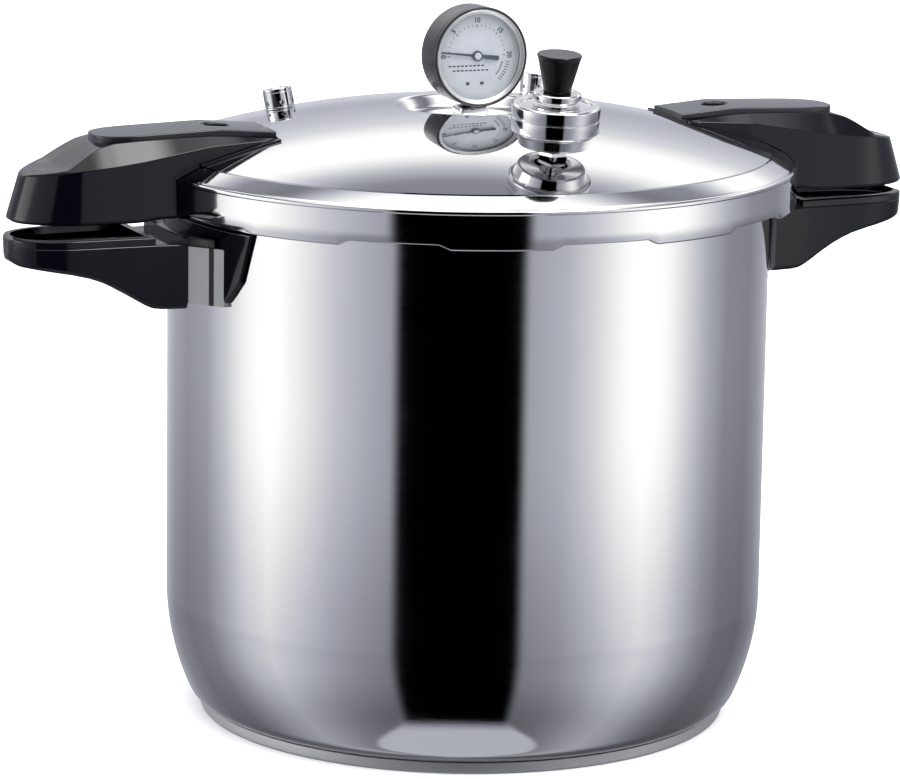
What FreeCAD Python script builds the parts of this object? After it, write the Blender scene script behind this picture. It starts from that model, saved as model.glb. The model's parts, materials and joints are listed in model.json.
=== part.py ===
"""Stovetop pressure canner: a stainless pot with a bayonet lid, a dial gauge and a weighted regulator.

Millimetres, +Z up. The origin is the centre of the base's underside, the handles lie along X and the
gauge faces -Y. Each sub-part is one object of the document, whose sizes come from the sheet "Sizes".
"""

import FreeCAD, Part
import math
import os
import re

import Sketcher

SIZES = {
    # pot
    "pot_radius": 150, "wall": 2, "corner_radius": 122, "corner_height": 63, "foot_radius": 12,
    "shell_bottom": 5.3, "foot_reach": 128.06, "turn_radius": 138.97, "turn_height": 12.32,
    "base_radius": 132.6, "cap_wall": 1, "cap_height": 5.7, "spreader_radius": 131.4,
    "flange_radius": 156, "flange_low": 263.2, "flange_top": 266.2, "pot_lug_radius": 160.2,
    "pot_lug_angle": 15.5,
    # rack
    "rack_radius": 136, "rack_top": 23.2, "rack_sheet": 1.2, "rack_foot_radius": 112, "rack_floor": 7.4,
    "rack_hole": 6, "rack_centre_hole": 14,
    # gasket
    "seal_inner": 148.6, "seal_outer": 160.6, "seal_low": 266.5, "seal_top": 275.8, "seal_slot": 2.2,
    # lid
    "dome_radius": 511, "dome_top": 308, "seam_radius": 150.3, "seam_height": 285.4, "bead_radius": 163.1,
    "bead_height": 278.6, "skirt_radius": 163, "skirt_low": 260.8, "skirt_gap_low": 263.3, "skirt_wall": 1.6,
    "lip_radius": 157.2, "lip_sheet": 2, "recess_radius": 33, "recess_floor": 300, "recess_lip": 40,
    "lug_count": 10, "gap_bottom": 50.5, "gap_top": 45.5,
    # lid grip
    "lid_grip_start": 107.5, "lid_grip_tip": 239, "lid_grip_low": 260.5, "pad_top": 301.6,
    "pad_root_top": 299.3, "pad_half": 17.2, "pad_shoulder": 172, "pad_nose": 187, "pad_nose_half": 14.5, "pad_fall": 2,
    "lid_handle_turn": -2, "lid_screw_x": 133, "well_radius": 6.5, "well_floor": 295, "stud_top": 293.5, "lid_clear": 0.15,
    # pot handle
    "pot_grip_start": 158.6, "pot_grip_tip": 241, "pot_grip_top": 253, "pot_grip_low": 217.2,
    "sleeve_low": 220.4, "sleeve_top": 248.2,
    "flare_in_x": 145.9, "flare_in_half": 43.4, "flare_out_half": 28.2, "collar_gap": 0.2, "collar_sheet": 4,
    "collar_top": 258.3, "tongue_low": 233.5, "tongue_top": 237.5, "tongue_half": 12, "tongue_end": 196,
    "pot_screw_x": 183,
    # gauge
    "gauge_height": 331.3, "case_radius": 24.8, "case_front": 13, "case_back": 6, "case_wall": 1.2,
    "dial_radius": 23, "dial_level": 6.4, "pointer_level": 8.2, "pointer_reach": 19.6, "tail_reach": 11.6,
    "pointer_rest": 7, "hub_radius": 2.5, "gear_module": 0.3, "pinion_teeth": 10, "sector_teeth_full": 60,
    "stem_block": 15, "stem_depth": 12, "stem_top": 306.2, "shank_radius": 5, "shank_low": 287,
    # regulator weight and vent pipe
    "vent_x": -4, "vent_y": -108, "vent_z": 296.4, "vent_lean": 6, "pipe_radius": 2.2, "pipe_bore": 0.9,
    "pipe_top": 13.2, "weight_radius": 21.15, "weight_low": 5.3, "weight_top": 25.8, "weight_bore": 2.6,
    "collar_ring": 11.65, "knob_foot": 6.5, "knob_crown": 10.9, "knob_top": 50,
    # safety valves
    "valve_a_x": -74, "valve_a_y": 69.5, "valve_b_x": 57.5, "valve_b_y": 50,
    "valve_radius": 7.5, "valve_height": 10.6, "valve_shank": 4,
}

doc = FreeCAD.newDocument("pressure_canner")
sheet = doc.addObject("Spreadsheet::Sheet", "Sizes")
for row, (alias, number) in enumerate(SIZES.items(), start=1):
    sheet.set(f"A{row}", alias)
    sheet.set(f"B{row}", str(number))
    sheet.setAlias(f"B{row}", alias)
doc.recompute()

Z_AXIS = FreeCAD.Vector(0, 0, 1)
nodes = []


# ---------------------------------------------------------------- words of the sheet
def bound(text):
    """An expression with each alias given as Sizes.alias, ready for setExpression."""
    return re.sub(r"[a-z][a-z_]*", lambda m: f"Sizes.{m[0]}" if m[0] in SIZES else m[0], str(text))


def number(text):
    """The value that an expression has now."""
    result = sheet.evalExpression(bound(text).replace("Sizes.", ""))
    return float(getattr(result, "Value", result))


def bind(target, path, text):
    target.setExpression(path, bound(text))


# ---------------------------------------------------------------- sketches and features
def new_body(name):
    body = doc.addObject("PartDesign::Body", name)
    body.Label = name
    return body


def sketch_on(body, role, offset="0"):
    """An empty sketch on one of the body's origin planes, shifted along the plane's normal."""
    plane = [feature for feature in body.Origin.OriginFeatures if feature.Role == role][0]
    sketch = body.newObject("Sketcher::SketchObject", f"{body.Name}_sketch")
    sketch.AttachmentSupport = (plane, "")
    sketch.MapMode = "FlatFace"
    sketch.AttachmentOffset.Base.z = number(offset)
    bind(sketch, "AttachmentOffset.Base.z", offset)
    return sketch


def hold(sketch, geometry, point, across, up):
    """Fixes one point of the sketch at two expressions."""
    for kind, axis, text in (("DistanceX", -2, across), ("DistanceY", -1, up)):
        if abs(number(text)) < 1e-9:
            sketch.addConstraint(Sketcher.Constraint("PointOnObject", geometry, point, axis))
            continue
        index = sketch.addConstraint(Sketcher.Constraint(kind, -1, 1, geometry, point, number(text)))
        bind(sketch, f"Constraints[{index}]", text)


def draw(sketch, corners):
    """A closed outline. A corner is (across, up), or (across, up, radius) when an arc leads to the next one;
    the radius is positive where the arc turns left and negative where it turns right."""
    count = len(corners)
    points = [FreeCAD.Vector(number(corner[0]), number(corner[1]), 0) for corner in corners]
    first = sketch.GeometryCount
    starts = []
    for index, corner in enumerate(corners):
        here, there = points[index], points[(index + 1) % count]
        if len(corner) == 2:
            sketch.addGeometry(Part.LineSegment(here, there), False)
            starts.append((1, 2))
            continue
        radius = number(corner[2])
        chord = there - here
        left = FreeCAD.Vector(-chord.y, chord.x, 0).normalize()
        reach = math.sqrt(max(radius ** 2 - (chord.Length / 2) ** 2, 0))
        centre = (here + there) / 2 + left * math.copysign(reach, radius)
        angles = [math.atan2(p.y - centre.y, p.x - centre.x) for p in (here, there)]
        if radius < 0:
            angles.reverse()
        circle = Part.Circle(centre, Z_AXIS, abs(radius))
        sketch.addGeometry(Part.ArcOfCircle(circle, angles[0], angles[1]), False)
        starts.append((1, 2) if radius > 0 else (2, 1))
    for index in range(count):
        following = (index + 1) % count
        join = (first + index, starts[index][1], first + following, starts[following][0])
        sketch.addConstraint(Sketcher.Constraint("Coincident", *join))
    for index, corner in enumerate(corners):
        hold(sketch, first + index, starts[index][0], corner[0], corner[1])
        if len(corner) == 3:
            radius = number(corner[2])
            at = sketch.addConstraint(Sketcher.Constraint("Radius", first + index, abs(radius)))
            bind(sketch, f"Constraints[{at}]", corner[2] if radius > 0 else f"-({corner[2]})")


def draw_circle(sketch, across, up, radius):
    centre = FreeCAD.Vector(number(across), number(up), 0)
    index = sketch.addGeometry(Part.Circle(centre, Z_AXIS, number(radius)), False)
    hold(sketch, index, 3, across, up)
    at = sketch.addConstraint(Sketcher.Constraint("Radius", index, number(radius)))
    bind(sketch, f"Constraints[{at}]", radius)


def revolve(body, corners, angle="360", kind="Revolution"):
    """Turns an outline in the XZ plane about the Z axis; less than a full turn is centred on +X."""
    sketch = sketch_on(body, "XZ_Plane")
    draw(sketch, corners)
    feature = body.newObject(f"PartDesign::{kind}", f"{body.Name}_{kind}")
    feature.Profile = sketch
    feature.ReferenceAxis = (sketch, ["V_Axis"])
    feature.Angle = number(angle)
    bind(feature, "Angle", angle)
    feature.Midplane = number(angle) < 360
    return feature


def raise_pad(body, role, corners, length, offset="0", middle=False, circle=None):
    sketch = sketch_on(body, role, offset)
    if corners:
        draw(sketch, corners)
    if circle:
        draw_circle(sketch, *circle)
    feature = body.newObject("PartDesign::Pad", f"{body.Name}_pad")
    feature.Profile = sketch
    feature.Length = number(length)
    bind(feature, "Length", length)
    feature.Midplane = middle
    return feature


def cut(body, role, corners, length, offset="0", middle=False, circle=None, backward=False):
    """A pocket of the given depth, which has to remove something."""
    doc.recompute()
    before = body.Shape.Volume
    sketch = sketch_on(body, role, offset)
    if corners:
        draw(sketch, corners)
    if circle:
        draw_circle(sketch, *circle)
    feature = body.newObject("PartDesign::Pocket", f"{body.Name}_pocket")
    feature.Profile = sketch
    feature.Length = number(length)
    bind(feature, "Length", length)
    feature.Midplane = middle
    feature.Reversed = backward
    doc.recompute()
    if body.Shape.Volume > before - 1e-6:
        raise ValueError(f"{body.Label}: a pocket removes nothing")
    return feature


def groove(body, corners):
    doc.recompute()
    before = body.Shape.Volume
    feature = revolve(body, corners, kind="Groove")
    doc.recompute()
    if body.Shape.Volume > before - 1e-6:
        raise ValueError(f"{body.Label}: a groove removes nothing")
    return feature


def repeat(body, feature, count):
    """Repeats a feature evenly round the Z axis."""
    axis = [item for item in body.Origin.OriginFeatures if item.Role == "Z_Axis"][0]
    pattern = body.newObject("PartDesign::PolarPattern", f"{body.Name}_pattern")
    pattern.Originals = [feature]
    pattern.Axis = (axis, [""])
    pattern.Angle = 360
    pattern.Occurrences = int(number(count))
    bind(pattern, "Occurrences", count)
    body.Tip = pattern
    return pattern


def hexagon(across_flats):
    reach = f"({across_flats}) / sqrt(3)"
    corners = [math.radians(60 * k) for k in range(6)]
    return [(f"{reach} * {math.cos(turn):.6f}", f"{reach} * {math.sin(turn):.6f}") for turn in corners]


# ---------------------------------------------------------------- places
def keep(item, label=None):
    """Marks an object as one node of the model."""
    if label:
        item.Label = label
    nodes.append(item)
    return item


def put(item, base=("0", "0", "0"), axis=(0, 0, 1), angle="0"):
    """Places an object at three expressions, turned about an axis by an expression in degrees."""
    turn = FreeCAD.Rotation(FreeCAD.Vector(*axis), number(angle))
    item.Placement = FreeCAD.Placement(FreeCAD.Vector(*(number(text) for text in base)), turn)
    for name, text in zip("xyz", base):
        bind(item, f"Placement.Base.{name}", text)
    return item


SIDES = {"right": 0, "left": 180}


def on_side(item, side):
    return put(item, angle=str(SIDES[side]))


def on_lid_side(item, side):
    """The lid's handles close a little out of line with the pot's."""
    return put(item, angle=f"{SIDES[side]} + lid_handle_turn")


# ---------------------------------------------------------------- pot
def make_pot_shell():
    body = new_body("pot_shell")
    inner, small = "corner_radius - wall", "foot_radius - wall"
    revolve(body, [
        ("0", "shell_bottom"),
        ("foot_reach", "shell_bottom", "foot_radius"),
        ("turn_radius", "turn_height", "corner_radius"),
        ("pot_radius", "corner_height"),
        ("pot_radius", "flange_top"),
        ("pot_radius - wall", "flange_top"),
        ("pot_radius - wall", "corner_height", f"-({inner})"),
        ("turn_radius - wall * 0.9096", "turn_height + wall * 0.4155", f"-({small})"),
        ("foot_reach", "shell_bottom + wall"),
        ("0", "shell_bottom + wall"),
    ])
    keep(body)


def make_pot_rim():
    """Flat ring welded round the pot's mouth, with the ten lugs that hold the lid down."""
    body = new_body("pot_rim")
    revolve(body, [("pot_radius", "flange_low"), ("flange_radius", "flange_low"),
                   ("flange_radius", "flange_top"), ("pot_radius", "flange_top")])
    lug = revolve(body, [("pot_radius + 1", "flange_low"), ("pot_lug_radius", "flange_low"),
                         ("pot_lug_radius", "flange_top"), ("pot_radius + 1", "flange_top")], "pot_lug_angle")
    repeat(body, lug, "lug_count")
    keep(body)


def make_base():
    disc = doc.addObject("Part::Cylinder", "base_spreader")
    bind(disc, "Radius", "spreader_radius")
    bind(disc, "Height", "shell_bottom - cap_wall")
    put(disc, ("0", "0", "cap_wall"))
    keep(disc, "base_spreader")
    cap = new_body("base_cap")
    revolve(cap, [
        ("0", "0"), ("base_radius - 1.5", "0", "1.5"), ("base_radius", "1.5"), ("base_radius", "cap_height"),
        ("base_radius - cap_wall", "cap_height"), ("base_radius - cap_wall", "cap_wall"), ("0", "cap_wall"),
    ])
    keep(cap)


def flare(part):
    """A point on the flared side of the handle's root; part runs from 0 at the grip to 1 at the wall."""
    return (f"(pot_grip_start + (flare_in_x - pot_grip_start) * {part})",
            f"(flare_out_half + (flare_in_half - flare_out_half) * {part})")


def flare_slice(near, far):
    """Plan of the root between two points of its side, with faces concentric with the pot between them."""
    (near_x, near_y), (far_x, far_y) = flare(near), flare(far)
    inner = (far_x, far_y, f"-sqrt({far_x}^2 + {far_y}^2)")
    outer = (near_x, f"-{near_y}")
    if near > 0:
        outer = (*outer, f"sqrt({near_x}^2 + {near_y}^2)")
    return [(far_x, f"-{far_y}"), outer, (near_x, near_y), inner]


def tongue_slot(body, gap):
    cut(body, "YZ_Plane", [
        (f"-(tongue_half + {gap})", f"tongue_low - {gap}"), (f"tongue_half + {gap}", f"tongue_low - {gap}"),
        (f"tongue_half + {gap}", f"tongue_top + {gap}"), (f"-(tongue_half + {gap})", f"tongue_top + {gap}"),
    ], f"tongue_end + {gap} - 140", offset="140", backward=True)


def make_pot_handle(side):
    wall_reach = "(pot_radius + 0.1)"
    wall_x = f"sqrt({wall_reach}^2 - flare_in_half^2)"
    height = "sleeve_top - sleeve_low"
    bracket_part, spacer_part = 0.71, 0.57

    bracket = new_body(f"pot_bracket_{side}")
    outer_x, outer_y = flare(bracket_part)
    raise_pad(bracket, "XY_Plane", [
        (wall_x, "-flare_in_half"), ("flare_in_x", "-flare_in_half"),
        (outer_x, f"-{outer_y}", f"sqrt({outer_x}^2 + {outer_y}^2)"), (outer_x, outer_y),
        ("flare_in_x", "flare_in_half"), (wall_x, "flare_in_half", f"-{wall_reach}"),
    ], height, offset="sleeve_low")
    raise_pad(bracket, "YZ_Plane", [
        ("-tongue_half", "tongue_low"), ("tongue_half", "tongue_low"),
        ("tongue_half", "tongue_top"), ("-tongue_half", "tongue_top"),
    ], "tongue_end - pot_radius - 2", offset="pot_radius + 2")
    cut(bracket, "XY_Plane", None, "20", offset="tongue_top + 1", circle=("pot_screw_x", "0", "2.1"))
    keep(on_side(bracket, side))

    for name, near, far in (("pot_spacer", spacer_part, bracket_part), ("pot_ferrule", 0, spacer_part)):
        ring = new_body(f"{name}_{side}")
        raise_pad(ring, "XY_Plane", flare_slice(near, far), height, offset="sleeve_low")
        tongue_slot(ring, 0.1)
        keep(on_side(ring, side))

    make_pot_collar(side)
    make_pot_grip(side)


def make_pot_collar(side):
    """Moulded shield that hugs the pot round the bracket and runs out above the steel root."""
    body = new_body(f"pot_collar_{side}")
    inner, outer = "pot_radius + collar_gap", "pot_radius + collar_gap + collar_sheet"
    revolve(body, [
        (inner, "sleeve_low + 2"), (outer, "sleeve_low + 2"), (outer, "collar_top"), (inner, "collar_top"),
    ], "52")
    shelf = [("151", "-(flare_in_half - 1)"), ("pot_grip_start", "-flare_out_half"),
             ("pot_grip_start", "flare_out_half"), ("151", "flare_in_half - 1")]
    raise_pad(body, "XY_Plane", shelf, "pot_grip_top - sleeve_top - 0.1", offset="sleeve_top + 0.1")
    for sign in ("", "-"):
        trim = [(f"{sign}56", "234"), (f"{sign}64.5", "collar_top + 1"), (f"{sign}80", "collar_top + 1"),
                (f"{sign}80", "sleeve_low - 1"), (f"{sign}45", "sleeve_low - 1"), (f"{sign}45", "222")]
        cut(body, "YZ_Plane", trim, "60", offset="110", backward=True)
    window = [("-(flare_in_half + 0.2)", "sleeve_low - 1"), ("flare_in_half + 0.2", "sleeve_low - 1"),
              ("flare_in_half + 0.2", "sleeve_top + 0.1"), ("-(flare_in_half + 0.2)", "sleeve_top + 0.1")]
    cut(body, "YZ_Plane", window, "60", offset="110", backward=True)
    keep(on_side(body, side))


def make_pot_grip(side):
    body = new_body(f"pot_grip_{side}")
    top = "pot_grip_top"
    raise_pad(body, "XZ_Plane", [
        ("pot_grip_start", "pot_grip_low"), ("174.5", "pot_grip_low", "-60"), ("206", "233.4"),
        ("228", "238", "14"), ("pot_grip_tip", "247"), ("pot_grip_tip - 1.5", top), ("174.5", top),
        ("174.5", "249.4"), ("161.5", "249.4"), ("161.5", top), ("pot_grip_start", top),
    ], "70", middle=True)
    for sign, bend in (("", "-"), ("-", "")):
        cut(body, "XY_Plane", [
            ("pot_grip_start - 2", f"{sign}(flare_out_half + 0.2)"), ("177", f"{sign}26"),
            ("pot_grip_tip - 36", f"{sign}24.8", f"{bend}45"),
            ("pot_grip_tip - 7", f"{sign}17.5", f"{bend}24.4"), ("pot_grip_tip", f"{sign}0.0"),
            ("pot_grip_tip + 3", f"{sign}0.0"), ("pot_grip_tip + 3", f"{sign}40"),
            ("pot_grip_start - 2", f"{sign}40"),
        ], "60", offset="210", backward=True)
    cut(body, "XY_Plane", [
        ("178", "-22.3"), ("178", "22.3"), ("pot_grip_tip - 36", "21.4", "-41.5"),
        ("pot_grip_tip - 9.6", "15", "-20.7"), ("pot_grip_tip - 9.6", "-15", "-41.5"),
        ("pot_grip_tip - 36", "-21.4"),
    ], "4", offset=top)
    tongue_slot(body, 0.1)
    cut(body, "XY_Plane", None, "tongue_low - 200", offset="200", circle=("pot_screw_x", "0", "2.6"),
        backward=True)
    cut(body, "XY_Plane", None, "27", offset="200", circle=("pot_screw_x", "0", "4.6"), backward=True)
    keep(on_side(body, side))


def make_pot_screw(side):
    """Pan-head screw that comes up through the grip into the bracket's tongue."""
    body = new_body(f"pot_screw_{side}")
    revolve(body, [("0", "223.8"), ("2.6", "223.8", "2"), ("4.2", "225.4"), ("4.2", "226.9"), ("2", "226.9"),
                   ("2", "tongue_top"), ("0", "tongue_top")])
    put(body, ("pot_screw_x" if side == "right" else "-pot_screw_x", "0", "0"))
    keep(body)


# ---------------------------------------------------------------- rack and gasket
def make_rack():
    body = new_body("canning_rack")
    foot = "rack_foot_radius"
    revolve(body, [
        ("0", "rack_top - rack_sheet"), (f"{foot} - rack_sheet", "rack_top - rack_sheet"),
        (f"{foot} - rack_sheet", "rack_floor"), (foot, "rack_floor"), (foot, "rack_top - rack_sheet"),
        ("rack_radius - 1.2", "rack_top - rack_sheet"), ("rack_radius - 1.2", "rack_top - 4"),
        ("rack_radius", "rack_top - 4"), ("rack_radius", "rack_top"), ("0", "rack_top"),
    ])
    cut(body, "XY_Plane", None, "10", offset="rack_top + 1", circle=("0", "0", "rack_centre_hole"))
    for radius, count in ((38, 6), (66, 12), (94, 18), (124, 24)):
        hole = cut(body, "XY_Plane", None, "10", offset="rack_top + 1",
                   circle=(str(radius), "0", "rack_hole"))
        repeat(body, hole, str(count))
    outline = [("-9", "rack_floor - 1"), ("9", "rack_floor - 1"), ("6", "17"), ("-6", "17")]
    window = cut(body, "YZ_Plane", outline, "20", offset="100", backward=True)
    repeat(body, window, "12")
    keep(body)


def make_gasket():
    """Channel-shaped rubber ring that lies on the pot's flange, inside the lid's rim."""
    body = new_body("sealing_gasket")
    low, top, middle = "seal_low", "seal_top", "(seal_low + seal_top) / 2"
    revolve(body, [
        ("seal_inner", low), ("seal_outer", low), ("seal_outer", "seal_top - 2.2"), ("seal_outer - 2.2", top),
        ("seal_inner", top), ("seal_inner", f"{middle} + seal_slot / 2"),
        ("seal_outer - 4", f"{middle} + seal_slot / 2"), ("seal_outer - 4", f"{middle} - seal_slot / 2"), ("seal_inner", f"{middle} - seal_slot / 2"),
    ])
    keep(body)


# ---------------------------------------------------------------- lid
def make_lid_shell():
    """Domed lid with a round recess for the gauge, a sloped band, a deep rim and ten inturned lugs."""
    blank = new_body("lid_blank")
    lip_z = "dome_top - dome_radius + sqrt(dome_radius^2 - recess_lip^2)"
    under = "dome_radius - wall"
    under_lip = f"dome_top - dome_radius + sqrt(({under})^2 - (recess_lip - 1)^2)"
    under_seam = f"dome_top - dome_radius + sqrt(({under})^2 - (seam_radius - 1.5)^2)"
    revolve(blank, [
        ("0", "recess_floor"), ("recess_radius - 3", "recess_floor", "4"),
        ("recess_radius", "recess_floor + 1.4"),
        ("recess_lip - 3.4", f"{lip_z} - 0.9", "-4.5"), ("recess_lip", lip_z, "-dome_radius"),
        ("seam_radius", "seam_height"), ("seam_radius + 0.5", "seam_height - 0.7"),
        ("bead_radius - 2.5", "bead_height + 1.5"), ("bead_radius - 2", "bead_height + 1.7"),
        ("bead_radius - 0.9", "bead_height + 1.3", "-1.5"), ("bead_radius", "bead_height - 0.4"),
        ("skirt_radius", "276"), ("skirt_radius - 0.4", "275.5"), ("skirt_radius", "275"),
        ("skirt_radius", "skirt_low + 1.2", "-1.2"), ("skirt_radius - 1.2", "skirt_low"),
        ("lip_radius", "skirt_low"), ("lip_radius", "skirt_low + lip_sheet"),
        ("skirt_radius - skirt_wall", "skirt_low + lip_sheet"),
        ("skirt_radius - skirt_wall", "bead_height - 1.8"), ("seam_radius - 1.5", under_seam, under),
        ("recess_lip - 1", under_lip), ("recess_lip - 3.9", f"{under_lip} - 1.1"),
        ("recess_radius + 0.8", "recess_floor - wall + 1"), ("recess_radius - 2", "recess_floor - wall"),
        ("0", "recess_floor - wall"),
    ])
    gap = cut(blank, "YZ_Plane", [
        ("-gap_bottom / 2", "skirt_low - 0.5"), ("gap_bottom / 2", "skirt_low - 0.5"),
        ("gap_top / 2", "skirt_gap_low"), ("-gap_top / 2", "skirt_gap_low"),
    ], "30", offset="140", backward=True)
    repeat(blank, gap, "lug_count")
    # the gaps lie half way between the lugs, and a lug faces each handle
    put(blank, angle="180 / lug_count")
    holes = [cylinder_at("gauge_hole", "shank_radius + 0.1", ("0", "0", "280"), "40")]
    holes.append(leaning("vent_hole", "pipe_radius + 0.1", "vent", "-20", "40"))
    for name in ("valve_a", "valve_b"):
        holes.append(leaning(f"{name}_hole", "valve_shank + 0.1", name, "-20", "40"))
    tools = doc.addObject("Part::MultiFuse", "lid_holes")
    tools.Shapes = holes
    lid = doc.addObject("Part::Cut", "lid_shell")
    lid.Base = blank
    lid.Tool = tools
    keep(lid, "lid_shell")


def cylinder_at(name, radius, base, height):
    tool = doc.addObject("Part::Cylinder", name)
    bind(tool, "Radius", radius)
    bind(tool, "Height", height)
    return put(tool, base)


def seat(name):
    """Where a fitting stands on the dome: its base point, lean axis and lean angle, as expressions."""
    if name == "vent":
        return ("vent_x", "vent_y", "vent_z"), (1, 0, 0), "vent_lean"
    x, y = f"{name}_x", f"{name}_y"
    reach = math.hypot(number(x), number(y))
    axis = (-number(y) / reach, number(x) / reach, 0)
    radial = f"sqrt({x}^2 + {y}^2)"
    z = f"dome_top - dome_radius + sqrt(dome_radius^2 - {x}^2 - {y}^2)"
    return (x, y, z), axis, f"asin({radial} / dome_radius)"


def stand_on_lid(item, name):
    base, axis, angle = seat(name)
    return put(item, base, axis, angle)


def leaning(name, radius, place, start, height):
    """A cutting cylinder along a fitting's axis, from a distance below its base point."""
    tool = doc.addObject("Part::Cylinder", name)
    bind(tool, "Radius", radius)
    bind(tool, "Height", height)
    stand_on_lid(tool, place)
    shift = tool.Placement.Rotation.multVec(FreeCAD.Vector(0, 0, number(start)))
    tool.setExpression("Placement.Base.x", None)
    tool.setExpression("Placement.Base.y", None)
    tool.setExpression("Placement.Base.z", None)
    tool.Placement.Base = tool.Placement.Base + shift
    return tool


def lid_envelope(gap):
    """Outline of everything under the lid's outer surface, a gap larger, for cutting what sits on the lid."""
    return [
        ("0", "250"), (f"skirt_radius + {gap}", "250"), (f"skirt_radius + {gap}", "bead_height + 0.6"),
        (f"bead_radius - 1 + {gap}", f"bead_height + 1.8 + {gap}"),
        (f"seam_radius + {gap}", f"seam_height + 0.2 + {gap}", f"dome_radius + {gap}"),
        ("0", f"dome_top + {gap}"),
    ]


def make_lid_grip(side):
    """Lid handle: lofted along its length, then shaped in plan, cut to the lid and given its raised pad."""
    body = new_body(f"lid_grip_{side}")
    # distance along X, half width at the bottom, half width and height of the shoulder, of the slope's top
    stations = (
        ("lid_grip_start", 25, 22.5, 296.6, 17.6, 297.2),
        ("143", 26.6, 25, 294.4, 18.6, 298.6),
        ("176", 26.8, 25.8, 288.6, 18.6, 297.8),
        ("196", 26.8, 25.8, 286.2, 19, 296.2),
        ("217", 26.5, 25, 284.2, 24, 285.4),
        ("lid_grip_tip", 24, 22, 280.8, 21, 281.5),
    )
    sections = []
    for x, bottom, shoulder, shoulder_z, top, top_z in stations:
        sketch = sketch_on(body, "YZ_Plane", x)
        draw(sketch, [(f"-{bottom}", "lid_grip_low"), (str(bottom), "lid_grip_low"),
                      (str(shoulder), str(shoulder_z)), (str(top), str(top_z)),
                      (f"-{top}", str(top_z)), (f"-{shoulder}", str(shoulder_z))])
        sections.append(sketch)
    loft = body.newObject("PartDesign::AdditiveLoft", f"{body.Name}_loft")
    loft.Profile = sections[0]
    loft.Sections = sections[1:]
    loft.Ruled = True
    raise_pad(body, "XY_Plane", [
        ("lid_grip_start", "-pad_half"), ("pad_shoulder", "-(pad_half + 0.6)", "40"),
        ("pad_nose", "-pad_nose_half", "pad_nose_half + 1.5"), ("pad_nose", "pad_nose_half", "40"),
        ("pad_shoulder", "pad_half + 0.6"), ("lid_grip_start", "pad_half"),
    ], "pad_top - 294", offset="294")
    cut(body, "XZ_Plane", [("lid_grip_start - 1", "pad_root_top"), ("136", "pad_top"),
                           ("pad_nose + 12", "pad_top - pad_fall"), ("pad_nose + 12", "pad_top + 4"),
                           ("lid_grip_start - 1", "pad_top + 4")], "80", middle=True)
    for sign, bend in (("", "-"), ("-", "")):
        cut(body, "XY_Plane", [
            ("lid_grip_tip - 39", f"{sign}28.5"), ("lid_grip_tip - 36", f"{sign}27", f"{bend}52"),
            ("lid_grip_tip - 10", f"{sign}19", f"{bend}22"), ("lid_grip_tip", f"{sign}0.0"),
            ("lid_grip_tip + 4", f"{sign}0.0"), ("lid_grip_tip + 4", f"{sign}40"),
            ("lid_grip_tip - 39", f"{sign}40"),
        ], "60", offset="255", backward=True)
    cut(body, "XZ_Plane", [
        ("lid_grip_tip + 0.2", "264"), ("lid_grip_tip + 9", "264"), ("lid_grip_tip + 9", "300"),
        ("lid_grip_tip - 12", "300"), ("lid_grip_tip - 7", "284"),
    ], "80", middle=True)
    groove(body, lid_envelope("lid_clear"))
    for depth, radius in (("pad_top - well_floor + 1", "well_radius"), ("20", "2.4")):
        cut(body, "XY_Plane", None, depth, offset="pad_top + 1", circle=("lid_screw_x", "0", radius))
    cut(body, "XY_Plane", None, "stud_top + 0.2 - 280", offset="280", circle=("lid_screw_x", "0", "4.4"),
        backward=True)
    keep(on_lid_side(body, side))

    stud = new_body(f"lid_stud_{side}")
    raise_pad(stud, "XY_Plane", None, "stud_top - 284", offset="284", circle=("lid_screw_x", "0", "4.2"))
    groove(stud, lid_envelope("0.0"))
    cut(stud, "XY_Plane", None, "2.7", offset="stud_top", circle=("lid_screw_x", "0", "2.05"))
    keep(on_lid_side(stud, side))

    screw = new_body(f"lid_screw_{side}")
    head = "well_floor"
    revolve(screw, [("0", "stud_top - 2.5"), ("2", "stud_top - 2.5"), ("2", head), ("5.4", head),
                    ("5.4", f"{head} + 1.4", "1"), ("4.4", f"{head} + 2.3"), ("0", f"{head} + 2.3")])
    cut(screw, "XY_Plane", [("-5.4", "-0.5"), ("5.4", "-0.5"), ("5.4", "0.5"), ("-5.4", "0.5")], "1",
        offset=f"{head} + 2.3")
    reach = "lid_screw_x" if side == "right" else "-lid_screw_x"
    put(screw, (f"{reach} * cos(lid_handle_turn)", f"{reach} * sin(lid_handle_turn)", "0"))
    keep(screw)


# ---------------------------------------------------------------- gauge
def face_forward(item):
    """Stands a turned piece on the gauge's axis, its own +Z towards -Y."""
    return put(item, ("0", "0", "gauge_height"), (1, 0, 0), "90")


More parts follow.
